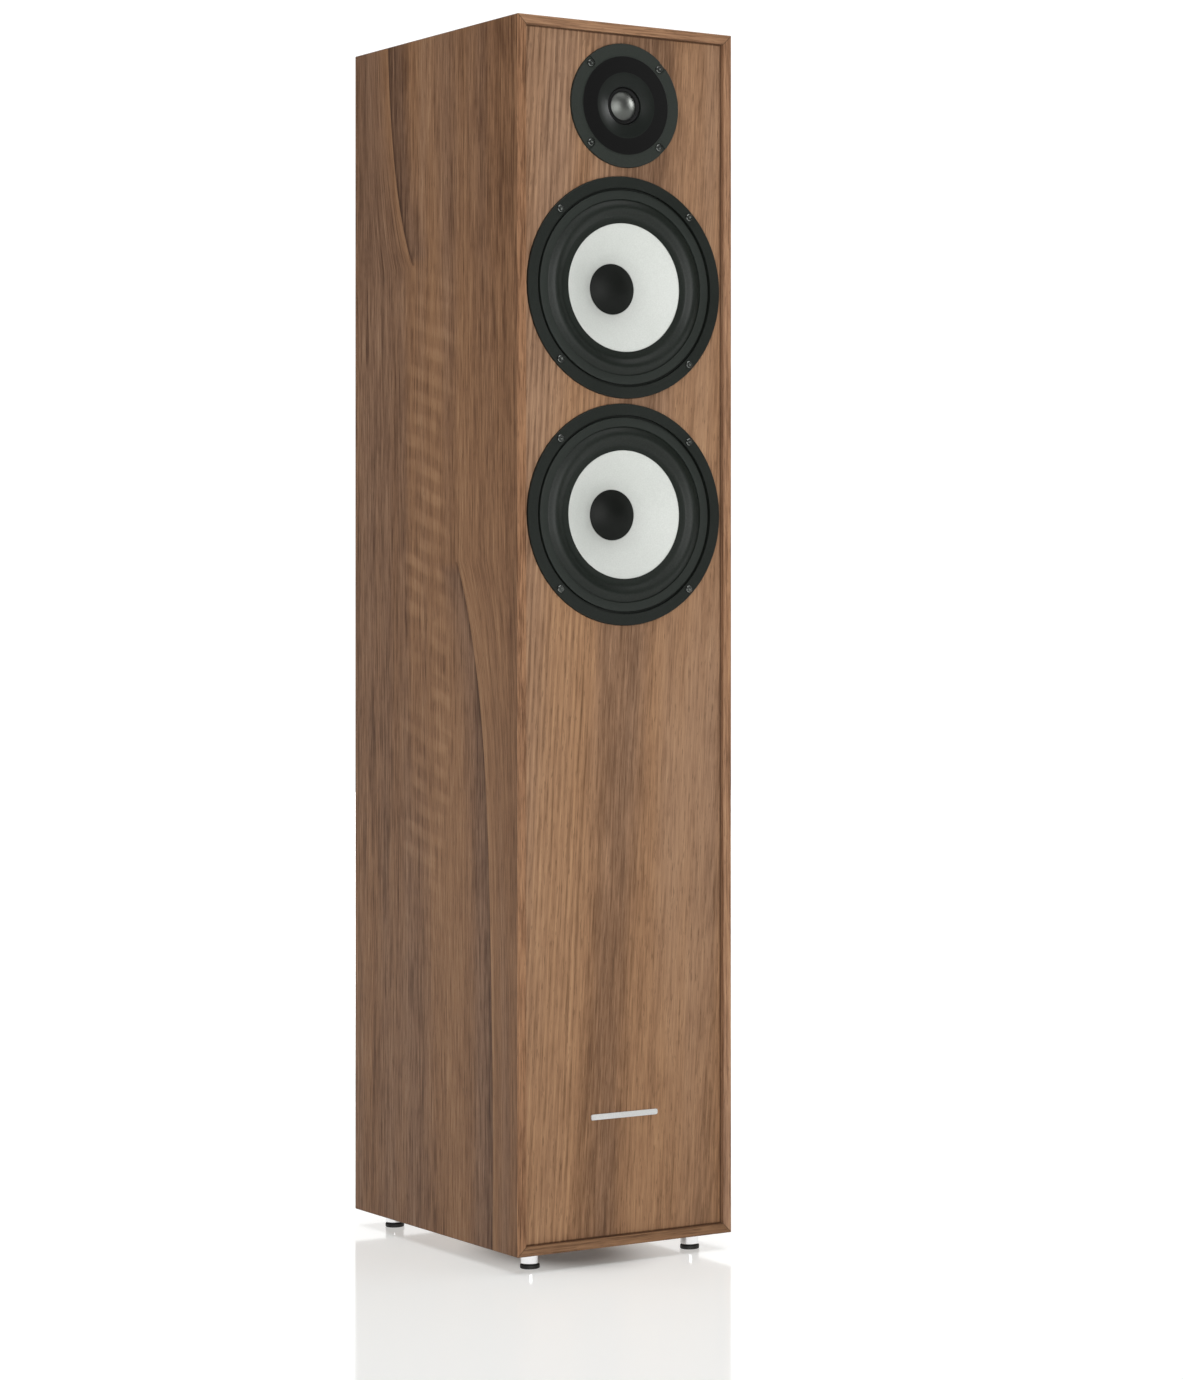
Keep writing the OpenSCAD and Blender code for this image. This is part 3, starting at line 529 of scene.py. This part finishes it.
def stripe(across, width, amount, low=-1.0, high=2.0):
    """A darker or lighter stripe along the grain. One 1 m wide covers the panel; on the baffle
    such a one is painted shade.
    """

    def change(g, u, v):
        reach = g.math("DIVIDE", g.math("SUBTRACT", u, across), width)
        band = g.step(g.math("ABSOLUTE", reach), 0.4, 1.2, amount, 0.0)
        return g.math("MULTIPLY", band, between(g, v, low, high, STRIPE_FADE))

    return change


def pencil(edge, amount):
    """Straight fine growth lines past a place across the grain."""

    def change(g, u, v):
        warp = g.noise(g.scaled((60, 2.5, 0), (1, 4, 0), g.join(u, v)), 1.0, 2.0)
        phase = g.math("MULTIPLY", u, 2 * pi / GROWTH_PITCH)
        phase = g.math("MULTIPLY_ADD", warp, 4.0, phase)
        band = g.step(u, edge, edge + 3 * MM, amount, 0.0)
        return g.math("MULTIPLY", g.math("SINE", phase), band)

    return change


def gap_shadow_line(low, high):
    """A painted shadow line round an inset panel, where shade falls in the gap round it. The
    panel ends at low and high.
    """

    def change(g, u, v):
        xyz = g.split()
        gaps = [
            g.math("SUBTRACT", xyz["X"], low.x), g.math("SUBTRACT", high.x, xyz["X"]),
            g.math("SUBTRACT", xyz["Z"], low.z), g.math("SUBTRACT", high.z, xyz["Z"]),
        ]
        nearest = gaps[0]
        for gap in gaps[1:]:
            nearest = g.math("MINIMUM", nearest, gap)
        return g.step(nearest, *GAP_SHADOW_FADE, -0.5, 0.0)

    return change


# ---------- Other materials ----------


def plain(name, colour, roughness, speck=0.1, grain=900, bump=0.03 * MM, **shader):
    """A moulded, coated or cast surface: fine mottling, uneven gloss and a fine bump.

    speck is how far the mottling strays from the colour, and grain is its scale."""
    g = Graph(name)
    fine = g.noise(g.place, grain, 3.0, 0.6)
    patches = g.noise(g.place, 14.0, 3.0)
    dark = tuple(c * (1 - speck) for c in colour)
    light = tuple(min(1, c * (1 + speck)) for c in colour)
    base = g.mix(g.step(fine, 0.3, 0.7), dark, light)
    base = g.mix(g.step(patches, 0.35, 0.65, 0.25, 0.0), base, dark)
    g.shade(
        Base_Color=base,
        Roughness=g.step(patches, 0.3, 0.7, roughness * 0.88, min(1, roughness * 1.12)),
        **shader,
    )
    g.bump(fine, bump)


def turned(name, colour, roughness, centre, rings=2600):
    """Lathe-turned or wound metal: fine rings round the line along Y through centre."""
    g = Graph(name)
    tool = g.noise(g.join(g.math("MULTIPLY", g.radius(centre), rings)), 1.0, 2.0)
    stain = g.noise(g.place, 30.0, 3.0)
    dark = tuple(c * 0.8 for c in colour)
    g.shade(
        Base_Color=g.mix(g.step(stain, 0.35, 0.65, 0.5, 0.0), colour, dark),
        Roughness=g.step(tool, 0.3, 0.7, roughness * 0.8, roughness * 1.25),
        Metallic=1.0,
    )
    g.bump(tool, 0.01 * MM)


# Radii from the cone's axis, between which the glue line and the painted shade round the dust
# cap fade
GLUE_LINE = (20.5 * MM, 21.5 * MM)
CAP_PAINTED_SHADE = (20 * MM, 34 * MM)


def cone_paper(name, centre):
    """A pale pressed cone: soft pulp mottling, faint ribs round it, a darker glue line and
    painted shade round the dust cap.
    """
    g = Graph(name)
    pulp = g.noise(g.place, 900.0, 4.0, 0.6)
    cloud = g.noise(g.place, 45.0, 3.0)
    r = g.radius(centre)
    ribs = g.noise(g.join(g.math("MULTIPLY", r, 700.0)), 1.0, 1.0)
    base = g.mix(g.step(pulp, 0.3, 0.7), (0.555, 0.573, 0.544), (0.618, 0.637, 0.607))
    base = g.mix(g.step(cloud, 0.35, 0.65, 0.2, 0.0), base, (0.525, 0.543, 0.515))
    # The narrow dark ring is the glue line; the wider darkening round the dust cap is painted
    # shade
    glue_and_cap_shade = g.add(g.step(r, *GLUE_LINE, 0.30, 0.0), g.step(r, *CAP_PAINTED_SHADE, 0.14, 0.0))
    base = g.mix(glue_and_cap_shade, base, (0.30, 0.30, 0.29))
    g.shade(
        Base_Color=base,
        Roughness=g.step(cloud, 0.3, 0.7, 0.42, 0.52),
        Specular_IOR_Level=0.35,
    )
    g.bump(g.weighted(0.5, (0.5, pulp), (0.5, ribs)), 0.03 * MM)


# The tweeter plate's guide ends at the first radius, and the matt disc round it at the second
GUIDE_RADIUS, DISC_RADIUS = 26.4 * MM, 39.6 * MM
PLATE_SOFTNESS = 0.3 * MM


def waveguide_plate(name, centre):
    """The tweeter's plate: a fine-textured rim, a matt disc and a smoother guide."""
    g = Graph(name)
    fine = g.noise(g.place, 1600.0, 3.0, 0.6)
    patches = g.noise(g.place, 20.0, 3.0)
    r = g.radius(centre)
    mouth = (GUIDE_RADIUS - PLATE_SOFTNESS, GUIDE_RADIUS + PLATE_SOFTNESS)
    disc = (DISC_RADIUS - PLATE_SOFTNESS, DISC_RADIUS + PLATE_SOFTNESS)
    in_disc = g.math("MULTIPLY", g.step(r, *mouth), g.step(r, *disc, 1.0, 0.0))
    in_guide = g.step(r, *mouth, 1.0, 0.0)
    base = g.mix(g.step(fine, 0.3, 0.7), (0.021, 0.0247, 0.0213), (0.026, 0.0303, 0.0263))
    base = g.mix(in_disc, base, (0.0025, 0.0025, 0.0025))
    base = g.mix(in_guide, base, (0.0115, 0.0135, 0.0120))
    rough = g.math("MULTIPLY_ADD", patches, 0.1, 0.43)
    rough = g.math("MULTIPLY_ADD", in_disc, 0.25, rough)
    rough = g.math("MULTIPLY_ADD", in_guide, -0.18, rough)
    g.shade(Base_Color=base, Roughness=rough, Specular_IOR_Level=0.09)
    g.bump(fine, 0.03 * MM)


def felted(name, colour, weave):
    """Loose fibre or woven cloth, with dark gaps between its threads."""
    g = Graph(name)
    threads = g.noise(g.place, weave, 4.0, 0.7, 0.6)
    cloud = g.noise(g.place, 25.0, 3.0)
    dark = tuple(c * 0.45 for c in colour)
    base = g.mix(g.step(threads, 0.32, 0.6, 1.0, 0.0), colour, dark)
    base = g.mix(g.step(cloud, 0.35, 0.65, 0.3, 0.0), base, dark)
    g.shade(
        Base_Color=base,
        Roughness=g.step(cloud, 0.3, 0.7, 0.85, 0.95),
        Specular_IOR_Level=0.2,
        Sheen_Weight=0.25,
        Sheen_Roughness=0.5,
    )
    g.bump(threads, 0.4 * MM)


# ---------- Pieces made here ----------

# The rings' profiles in mm: radii from the axis, and depths behind the CAD box's front
ROLL = dict(outer=78.4, mid=64.4, half=7.0, height=3.2, inner=51.95, depth=3.4)
ROLL_THICKNESS = 0.78
GASKET = dict(inner=71.25, outer=78.35, front=2.3, back=3.38, corner=0.4)
SPIDER = dict(outer=52.65, high=46.0, low=22.4, inner=19.4, count=4, height=1.1, depth=33.3)
SPIDER_THICKNESS = 0.6
# The tweeter's ring: the roll with its lands, the step outside them, and the back
TWEETER_ROLL = dict(outer=15.6, mid=14.0, half=1.0, height=0.9, inner=11.55, depth=5.3, steps=16)
TWEETER_STEP = [(19.65, 10.3), (19.65, 5.4), (19.55, 5.3)]
TWEETER_BACK = [
    (11.55, 5.6), (13.2, 5.6), (13.6, 4.95), (14.0, 4.72), (14.4, 4.95), (14.8, 5.6),
    (15.55, 5.6), (15.55, 10.3),
]
# The outer and the inner radius between which each ring's share of the way is worked out, in mm
ROLL_BENDS = (71.2, 57.2)
SPIDER_BENDS = (46.5, 22.0)
TWEETER_BENDS = (15.0, 13.0)


def ribbon(front, thickness):
    """A closed profile: front, and its copy moved back by thickness along its normal."""
    points = np.array(front)
    along = np.gradient(points, axis=0)
    along /= np.linalg.norm(along, axis=1)[:, None]
    back = points + thickness * np.stack([along[:, 1], -along[:, 0]], axis=1)
    return np.concatenate([points, back[::-1]])


def lathe(name, profile, centre, material, steps=144):
    """A ring: the closed profile of (radius, depth) in mm, turned about centre's axis."""
    mesh = bpy.data.meshes.new(name)
    shape = bmesh.new()
    rings = []
    for step in range(steps):
        turn = 2 * pi * step / steps
        ring = []
        for r, depth in profile:
            x, z = centre[0] + r * MM * cos(turn), centre[2] + r * MM * sin(turn)
            ring.append(shape.verts.new((x, cad_low.y + depth * MM, z)))
        rings.append(ring)
    count = len(profile)
    for a, b in zip(rings, rings[1:] + rings[:1]):
        for i in range(count):
            j = (i + 1) % count
            shape.faces.new((a[i], a[j], b[j], b[i]))
    bmesh.ops.recalc_face_normals(shape, faces=shape.faces)
    crease = radians(50)
    for face in shape.faces:
        face.smooth = True
    for edge in shape.edges:
        edge.smooth = edge.calc_face_angle(0) < crease
    shape.to_mesh(mesh)
    shape.free()
    mesh.materials.append(MATERIALS[material])
    piece = bpy.data.objects.new(name, mesh)
    scene.collection.objects.link(piece)
    return piece


def stretches(piece, mover, centre, outer, inner):
    """Bakes the piece's transform and works out each point's eased share of the way from radius
    outer to radius inner; nothing uses the share, so the piece doesn't bend, and mover is not
    used.
    """
    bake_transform(piece)
    place = np.empty(len(piece.data.vertices) * 3, np.float32)
    piece.data.vertices.foreach_get("co", place)
    place = place.reshape(-1, 3)
    radius = np.hypot(place[:, 0] - centre[0], place[:, 2] - centre[2]) / MM
    share = np.clip((outer - radius) / (outer - inner), 0, 1)
    share = share * share * (3 - 2 * share)


def half_roll(outer, mid, half, height, inner, depth, steps=30):
    """A flat land, a half-roll with soft feet, and a flat land, from outside to inside."""
    points = [(outer, depth), ((outer + mid + half) / 2, depth)]
    for step in range(steps + 1):
        t = 1 - 2 * step / steps
        rise = ((1 + cos(pi * t)) / 2) ** 0.62
        points.append((mid + half * t, depth - height * rise))
    return points + [((inner + mid - half) / 2, depth), (inner, depth)]


def waves(outer, high, low, inner, count, height, depth, steps=72):
    """A flat land, even waves from radius high to low, and a flat neck."""
    points = [(outer, depth)]
    for step in range(steps + 1):
        t = step / steps
        points.append((high + (low - high) * t, depth + height * sin(2 * pi * count * t)))
    return points + [(inner, depth)]


def rounded_ring(inner, outer, front, back, corner, steps=5):
    """A flat ring's profile with its two front corners rounded."""
    points = [(outer, back)]
    for step in range(steps + 1):
        turn = pi / 2 * step / steps
        points.append((outer - corner + corner * cos(turn), front + corner - corner * sin(turn)))
    for step in range(steps + 1):
        turn = pi / 2 * step / steps
        points.append((inner + corner - corner * sin(turn), front + corner - corner * cos(turn)))
    return points + [(inner, back)]


def make_woofer_rubber(which):
    centre = axis_of(which + "_cone")
    mover = which + "_cone_assembly"
    roll = ribbon(half_roll(**ROLL), ROLL_THICKNESS)
    surround = lathe(which + "_half_roll", roll, centre, "surround")
    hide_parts(which + "_surround")
    stretches(surround, mover, centre, *ROLL_BENDS)
    profile = rounded_ring(**GASKET)
    gasket = lathe(which + "_gasket_ring", profile, centre, "gasket")
    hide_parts(which + "_gasket")
    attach(gasket, "cabinet")
    cloth = ribbon(waves(**SPIDER), SPIDER_THICKNESS)
    spider = lathe(which + "_spider_cloth", cloth, centre, "spider_cloth")
    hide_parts(which + "_spider")
    stretches(spider, mover, centre, *SPIDER_BENDS)


def make_tweeter_rubber():
    centre = axis_of("tweeter_dome")
    profile = TWEETER_STEP + half_roll(**TWEETER_ROLL) + TWEETER_BACK
    ring = lathe("tweeter_roll", profile, centre, "tweeter_rubber")
    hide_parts("tweeter_surround")
    stretches(ring, "tweeter_diaphragm", centre, *TWEETER_BENDS)


def swell(piece, most, frames=20):
    """Puffs a closed mesh out with Cloth pressure, no point by more than most."""
    mesh = piece.data
    start = np.array([vert.co[:] for vert in mesh.vertices])
    cloth = piece.modifiers.new("cloth", "CLOTH")
    cloth.settings.quality = 5
    cloth.settings.use_pressure = True
    cloth.settings.uniform_pressure_force = 4
    cloth.settings.effector_weights.gravity = 0
    cloth.point_cache.frame_start, cloth.point_cache.frame_end = 1, frames
    for frame_number in range(1, frames + 1):
        scene.frame_set(frame_number)
    shown = piece.evaluated_get(bpy.context.evaluated_depsgraph_get())
    move = np.array([vert.co[:] for vert in shown.data.vertices]) - start
    piece.modifiers.remove(cloth)
    scene.frame_set(1)
    length = np.linalg.norm(move, axis=1)[:, None]
    move *= np.minimum(1, most / np.maximum(length, 1e-9))
    mesh.vertices.foreach_set("co", (start + move).ravel())
    mesh.update()


# The wadding's corner radius, its gap to its CAD box, and the most that it swells
WADDING_CORNER, WADDING_SLACK, WADDING_SWELL = 26 * MM, 6 * MM, 3 * MM
# Each size of tuft is (scale of its noise, height), and all are sunk by the same depth
TUFTS = ((55, 1.6 * MM), (160, 0.7 * MM))
TUFT_SUNK = 1.0 * MM


def make_wadding():
    """The roll of damping fibre: a soft block, swollen with Cloth and then tufted."""
    low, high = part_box("damping_wadding")
    middle, half = (low + high) / 2, (high - low) / 2
    shape = bmesh.new()
    bmesh.ops.create_cube(shape, size=2)
    bmesh.ops.subdivide_edges(shape, edges=shape.edges, cuts=15, use_grid_fill=True)
    for vert in shape.verts:
        inner = [h - WADDING_SLACK - WADDING_CORNER for h in half]
        core = Vector([c * h for c, h in zip(vert.co, inner)])
        out = Vector([c * (h - WADDING_SLACK) for c, h in zip(vert.co, half)]) - core
        vert.co = core + out.normalized() * WADDING_CORNER
    mesh = bpy.data.meshes.new("wadding_block")
    shape.to_mesh(mesh)
    shape.free()
    piece = bpy.data.objects.new("wadding_block", mesh)
    scene.collection.objects.link(piece)
    remesh = piece.modifiers.new("remesh", "REMESH")
    remesh.mode = "VOXEL"
    remesh.voxel_size = 5 * MM
    fixed = bpy.data.meshes.new_from_object(
        piece.evaluated_get(bpy.context.evaluated_depsgraph_get())
    )
    piece.modifiers.clear()
    piece.data = fixed
    swell(piece, WADDING_SWELL)
    for vert in fixed.vertices:
        tuft = sum(value_noise.noise(vert.co * scale) * height for scale, height in TUFTS)
        vert.co += vert.normal * (tuft - TUFT_SUNK)
    for polygon in fixed.polygons:
        polygon.use_smooth = True
    fixed.transform(Matrix.Translation(middle))
    fixed.materials.append(MATERIALS["wadding"])
    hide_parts("damping_wadding")
    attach(piece, "cabinet")


# ---------- The scene ----------

make_camera()
floor = make_stage()
make_world()
make_lights(floor)

# The side veneers' grain fills each panel from its front to 3 mm short of its back
side_low, side_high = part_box("side_panel_left")
FRONT, BACK = side_low.y, side_high.y - 3 * MM
LEFT_FLAMES = [
    dict(tip=(0.040, 0.812), edge=(0.050, 0.080), up=1, ends=(BACK, FRONT), dark=0.22),
    dict(tip=(-0.037, 0.567), edge=(0.057, 0.11), up=-1, ends=(FRONT, BACK), dark=0.19),
]
RIGHT_FLAMES = [
    dict(tip=(0.02, 0.62), edge=(0.06, 0.12), up=-1, ends=(BACK, FRONT)),
    dict(tip=(-0.05, 0.80), edge=(0.04, 0.09), up=1, ends=(FRONT, BACK)),
]
COPPER = (0.75, 0.33, 0.14)

# The cabinet: each panel has its own seed, tone and figure
walnut(
    "walnut_left", "Y", "Z", (0, 0, 0), (0.852, 0.818, 0.865), (0.70, 0.55, 1.15, 1.6),
    flames=LEFT_FLAMES,
    extra=[
        # The curl's light ripples are partly painted sheen
        curl_and_sheen(0.012, 0.040, 0.20, 0.88, 0.36), stripe(-0.026, 0.006, -0.17, 0.60, 1.2),
        stripe(0.055, 0.010, -0.14, 0.84, 1.2), stripe(0.115, 0.03, 0.06),
        stripe(-0.034, 0.012, -0.13, 0.08, 0.38),
        stripe(0, 1, 0.07, -1, 0.36), stripe(0.10, 0.07, -0.08, 0.74),
    ],
)
walnut(
    "walnut_right", "Y", "Z", (5, 3, 2), (1.06, 1.04, 1.09), flames=RIGHT_FLAMES,
    # The curl's light ripples are partly painted sheen
    extra=[curl_and_sheen(-0.03, 0.04, 0.3, 0.9, 0.16), stripe(-0.09, 0.03, 0.06)],
)
walnut("walnut_top", "Y", "X", (1, 7, 3), (0.93, 0.91, 0.93))
walnut("walnut_bottom", "Y", "X", (4, 2, 9), (0.70, 0.69, 0.71))
walnut(
    "walnut_baffle", "X", "Z", (2, 0, 5), (0.955, 0.975, 1.04), (0.30, 0.25, 0.45, 1.0),
    slant=0.05, mitred=False,
    extra=[
        pencil(-0.050, 0.11), stripe(-0.08, 0.032, 0.06), stripe(-0.018, 0.026, -0.13),
        # The stripe 1 m wide from 0.66 m up is painted shade: the baffle darker at its top,
        # where less light falls
        stripe(0.035, 0.03, 0.06), stripe(0.085, 0.014, -0.07), stripe(0, 1, -0.09, 0.66),
        # A painted shadow line round the baffle, where shade falls in its gap
        gap_shadow_line(*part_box("front_baffle")),
    ],
)
walnut(
    "walnut_back", "X", "Z", (7, 4, 1), (1, 1, 1), mitred=False,
    extra=[stripe(0.03, 0.03, -0.08)],
)
plain("fibreboard", (0.45, 0.30, 0.18), 0.85, 0.2, 1500)
plain("satin_badge", (0.66, 0.66, 0.655), 0.4, 0.05, Metallic=0.6)
felted("wadding", (0.62, 0.62, 0.60), 420)

# The drivers
plain(
    "powder_black", (0.0115, 0.0142, 0.0118), 0.5, 0.2, 1400, 0.04 * MM,
    Specular_IOR_Level=0.22,
)
plain("gasket", (0.0172, 0.0212, 0.0180), 0.55, 0.15, 1800, Specular_IOR_Level=0.25)
plain("surround", (0.0128, 0.0158, 0.0132), 0.42, 0.2, 700, 0.02 * MM, Specular_IOR_Level=0.22)
plain("cap_black", (0.0062, 0.0072, 0.0062), 0.5, 0.1, 600, 0.01 * MM, Specular_IOR_Level=0.12)
felted("spider_cloth", (0.50, 0.30, 0.10), 1500)
plain("ferrite", (0.045, 0.045, 0.048), 0.7, 0.2, 500)
plain("black_oxide", (0.19, 0.20, 0.19), 0.24, 0.2, 900, 0.01 * MM, Metallic=0.9)
waveguide_plate("tweeter_plate", axis_of("tweeter_faceplate"))
plain("tweeter_rubber", (0.006, 0.006, 0.006), 0.5, Specular_IOR_Level=0.2)
plain("dome", (0.105, 0.109, 0.102), 0.42, 0.05, 1200, 0.003 * MM, Metallic=1.0)

# The back, the feet and the crossover
plain("moulded", (0.014, 0.014, 0.014), 0.5, 0.2, 1600, 0.05 * MM)
turned("gold", (0.85, 0.60, 0.24), 0.2, axis_of("terminal_cup"), 1800)
plain("knob_red", (0.42, 0.012, 0.012), 0.25, 0.08, 900, 0.01 * MM)
plain("knob_black", (0.012, 0.012, 0.012), 0.25, 0.1, 900, 0.01 * MM)
plain("foot_rubber", (0.010, 0.010, 0.010), 0.55, 0.2, 1200)
plain("chrome", (0.80, 0.80, 0.81), 0.07, 0.02, 300, 0.002 * MM, Metallic=1.0)
plain("board", (0.02, 0.13, 0.05), 0.35, 0.1, 600)
plain("film", (0.30, 0.03, 0.02), 0.25, 0.1, 400)
plain("sheath", (0.03, 0.03, 0.03), 0.5, 0.1, 900)
turned("copper_wire", COPPER, 0.35, axis_of("crossover_coils"))

FINISHES = {
    "walnut_left": ["side_panel_left"],
    "walnut_right": ["side_panel_right"],
    "walnut_top": ["top_panel"],
    "walnut_bottom": ["bottom_panel"],
    "walnut_baffle": ["front_baffle"],
    "walnut_back": ["back_panel"],
    "fibreboard": ["window_braces"],
    "satin_badge": ["badge_plate"],
    "wadding": ["damping_wadding"],
    "powder_black": ["upper_basket", "lower_basket"],
    "gasket": ["upper_gasket", "lower_gasket"],
    "surround": ["upper_surround", "lower_surround"],
    "cap_black": ["upper_dust_cap", "lower_dust_cap"],
    "spider_cloth": ["upper_spider", "lower_spider"],
    "ferrite": ["upper_magnet", "lower_magnet", "tweeter_magnet"],
    "black_oxide": ["driver_screws", "panel_screws"],
    "tweeter_plate": ["tweeter_faceplate"],
    "tweeter_rubber": ["tweeter_surround"],
    "dome": ["tweeter_dome"],
    "moulded": ["port_tube", "terminal_cup"],
    "gold": [
        "binding_posts", "clamp_washer_red", "clamp_washer_black",
        "knob_insert_red", "knob_insert_black", "foot_inserts",
    ],
    "knob_red": ["knob_red"],
    "knob_black": ["knob_black"],
    "foot_rubber": [name for name in nodes if name.startswith("foot_pad")],
    "chrome": [name for name in nodes if name.startswith("foot_sleeve")],
    "board": ["crossover_board"],
    "film": ["crossover_capacitors"],
    "sheath": ["wiring"],
    "copper_wire": ["crossover_coils"],
}

# What is turned round a driver's own axis
for driver in ("upper", "lower", "tweeter"):
    axis = axis_of(driver + "_top_plate")
    zinc, copper = driver + "_zinc", driver + "_copper"
    turned(zinc, (0.55, 0.56, 0.54), 0.38, axis)
    turned(copper, COPPER, 0.35, axis)
    FINISHES[zinc] = [driver + "_top_plate", driver + "_yoke"]
    FINISHES[copper] = [driver + "_voice_coil"]
for driver in ("upper", "lower"):
    paper = driver + "_paper"
    cone_paper(paper, axis_of(driver + "_cone"))
    FINISHES[paper] = [driver + "_cone"]

for finish, names in FINISHES.items():
    for name in names:
        slots = nodes[name].material_slots
        if not slots:
            nodes[name].data.materials.append(None)
        for slot in slots:
            slot.material = MATERIALS[finish]

make_woofer_rubber("upper")
make_woofer_rubber("lower")
make_tweeter_rubber()
make_wadding()

scene.view_settings.view_transform = "Standard"
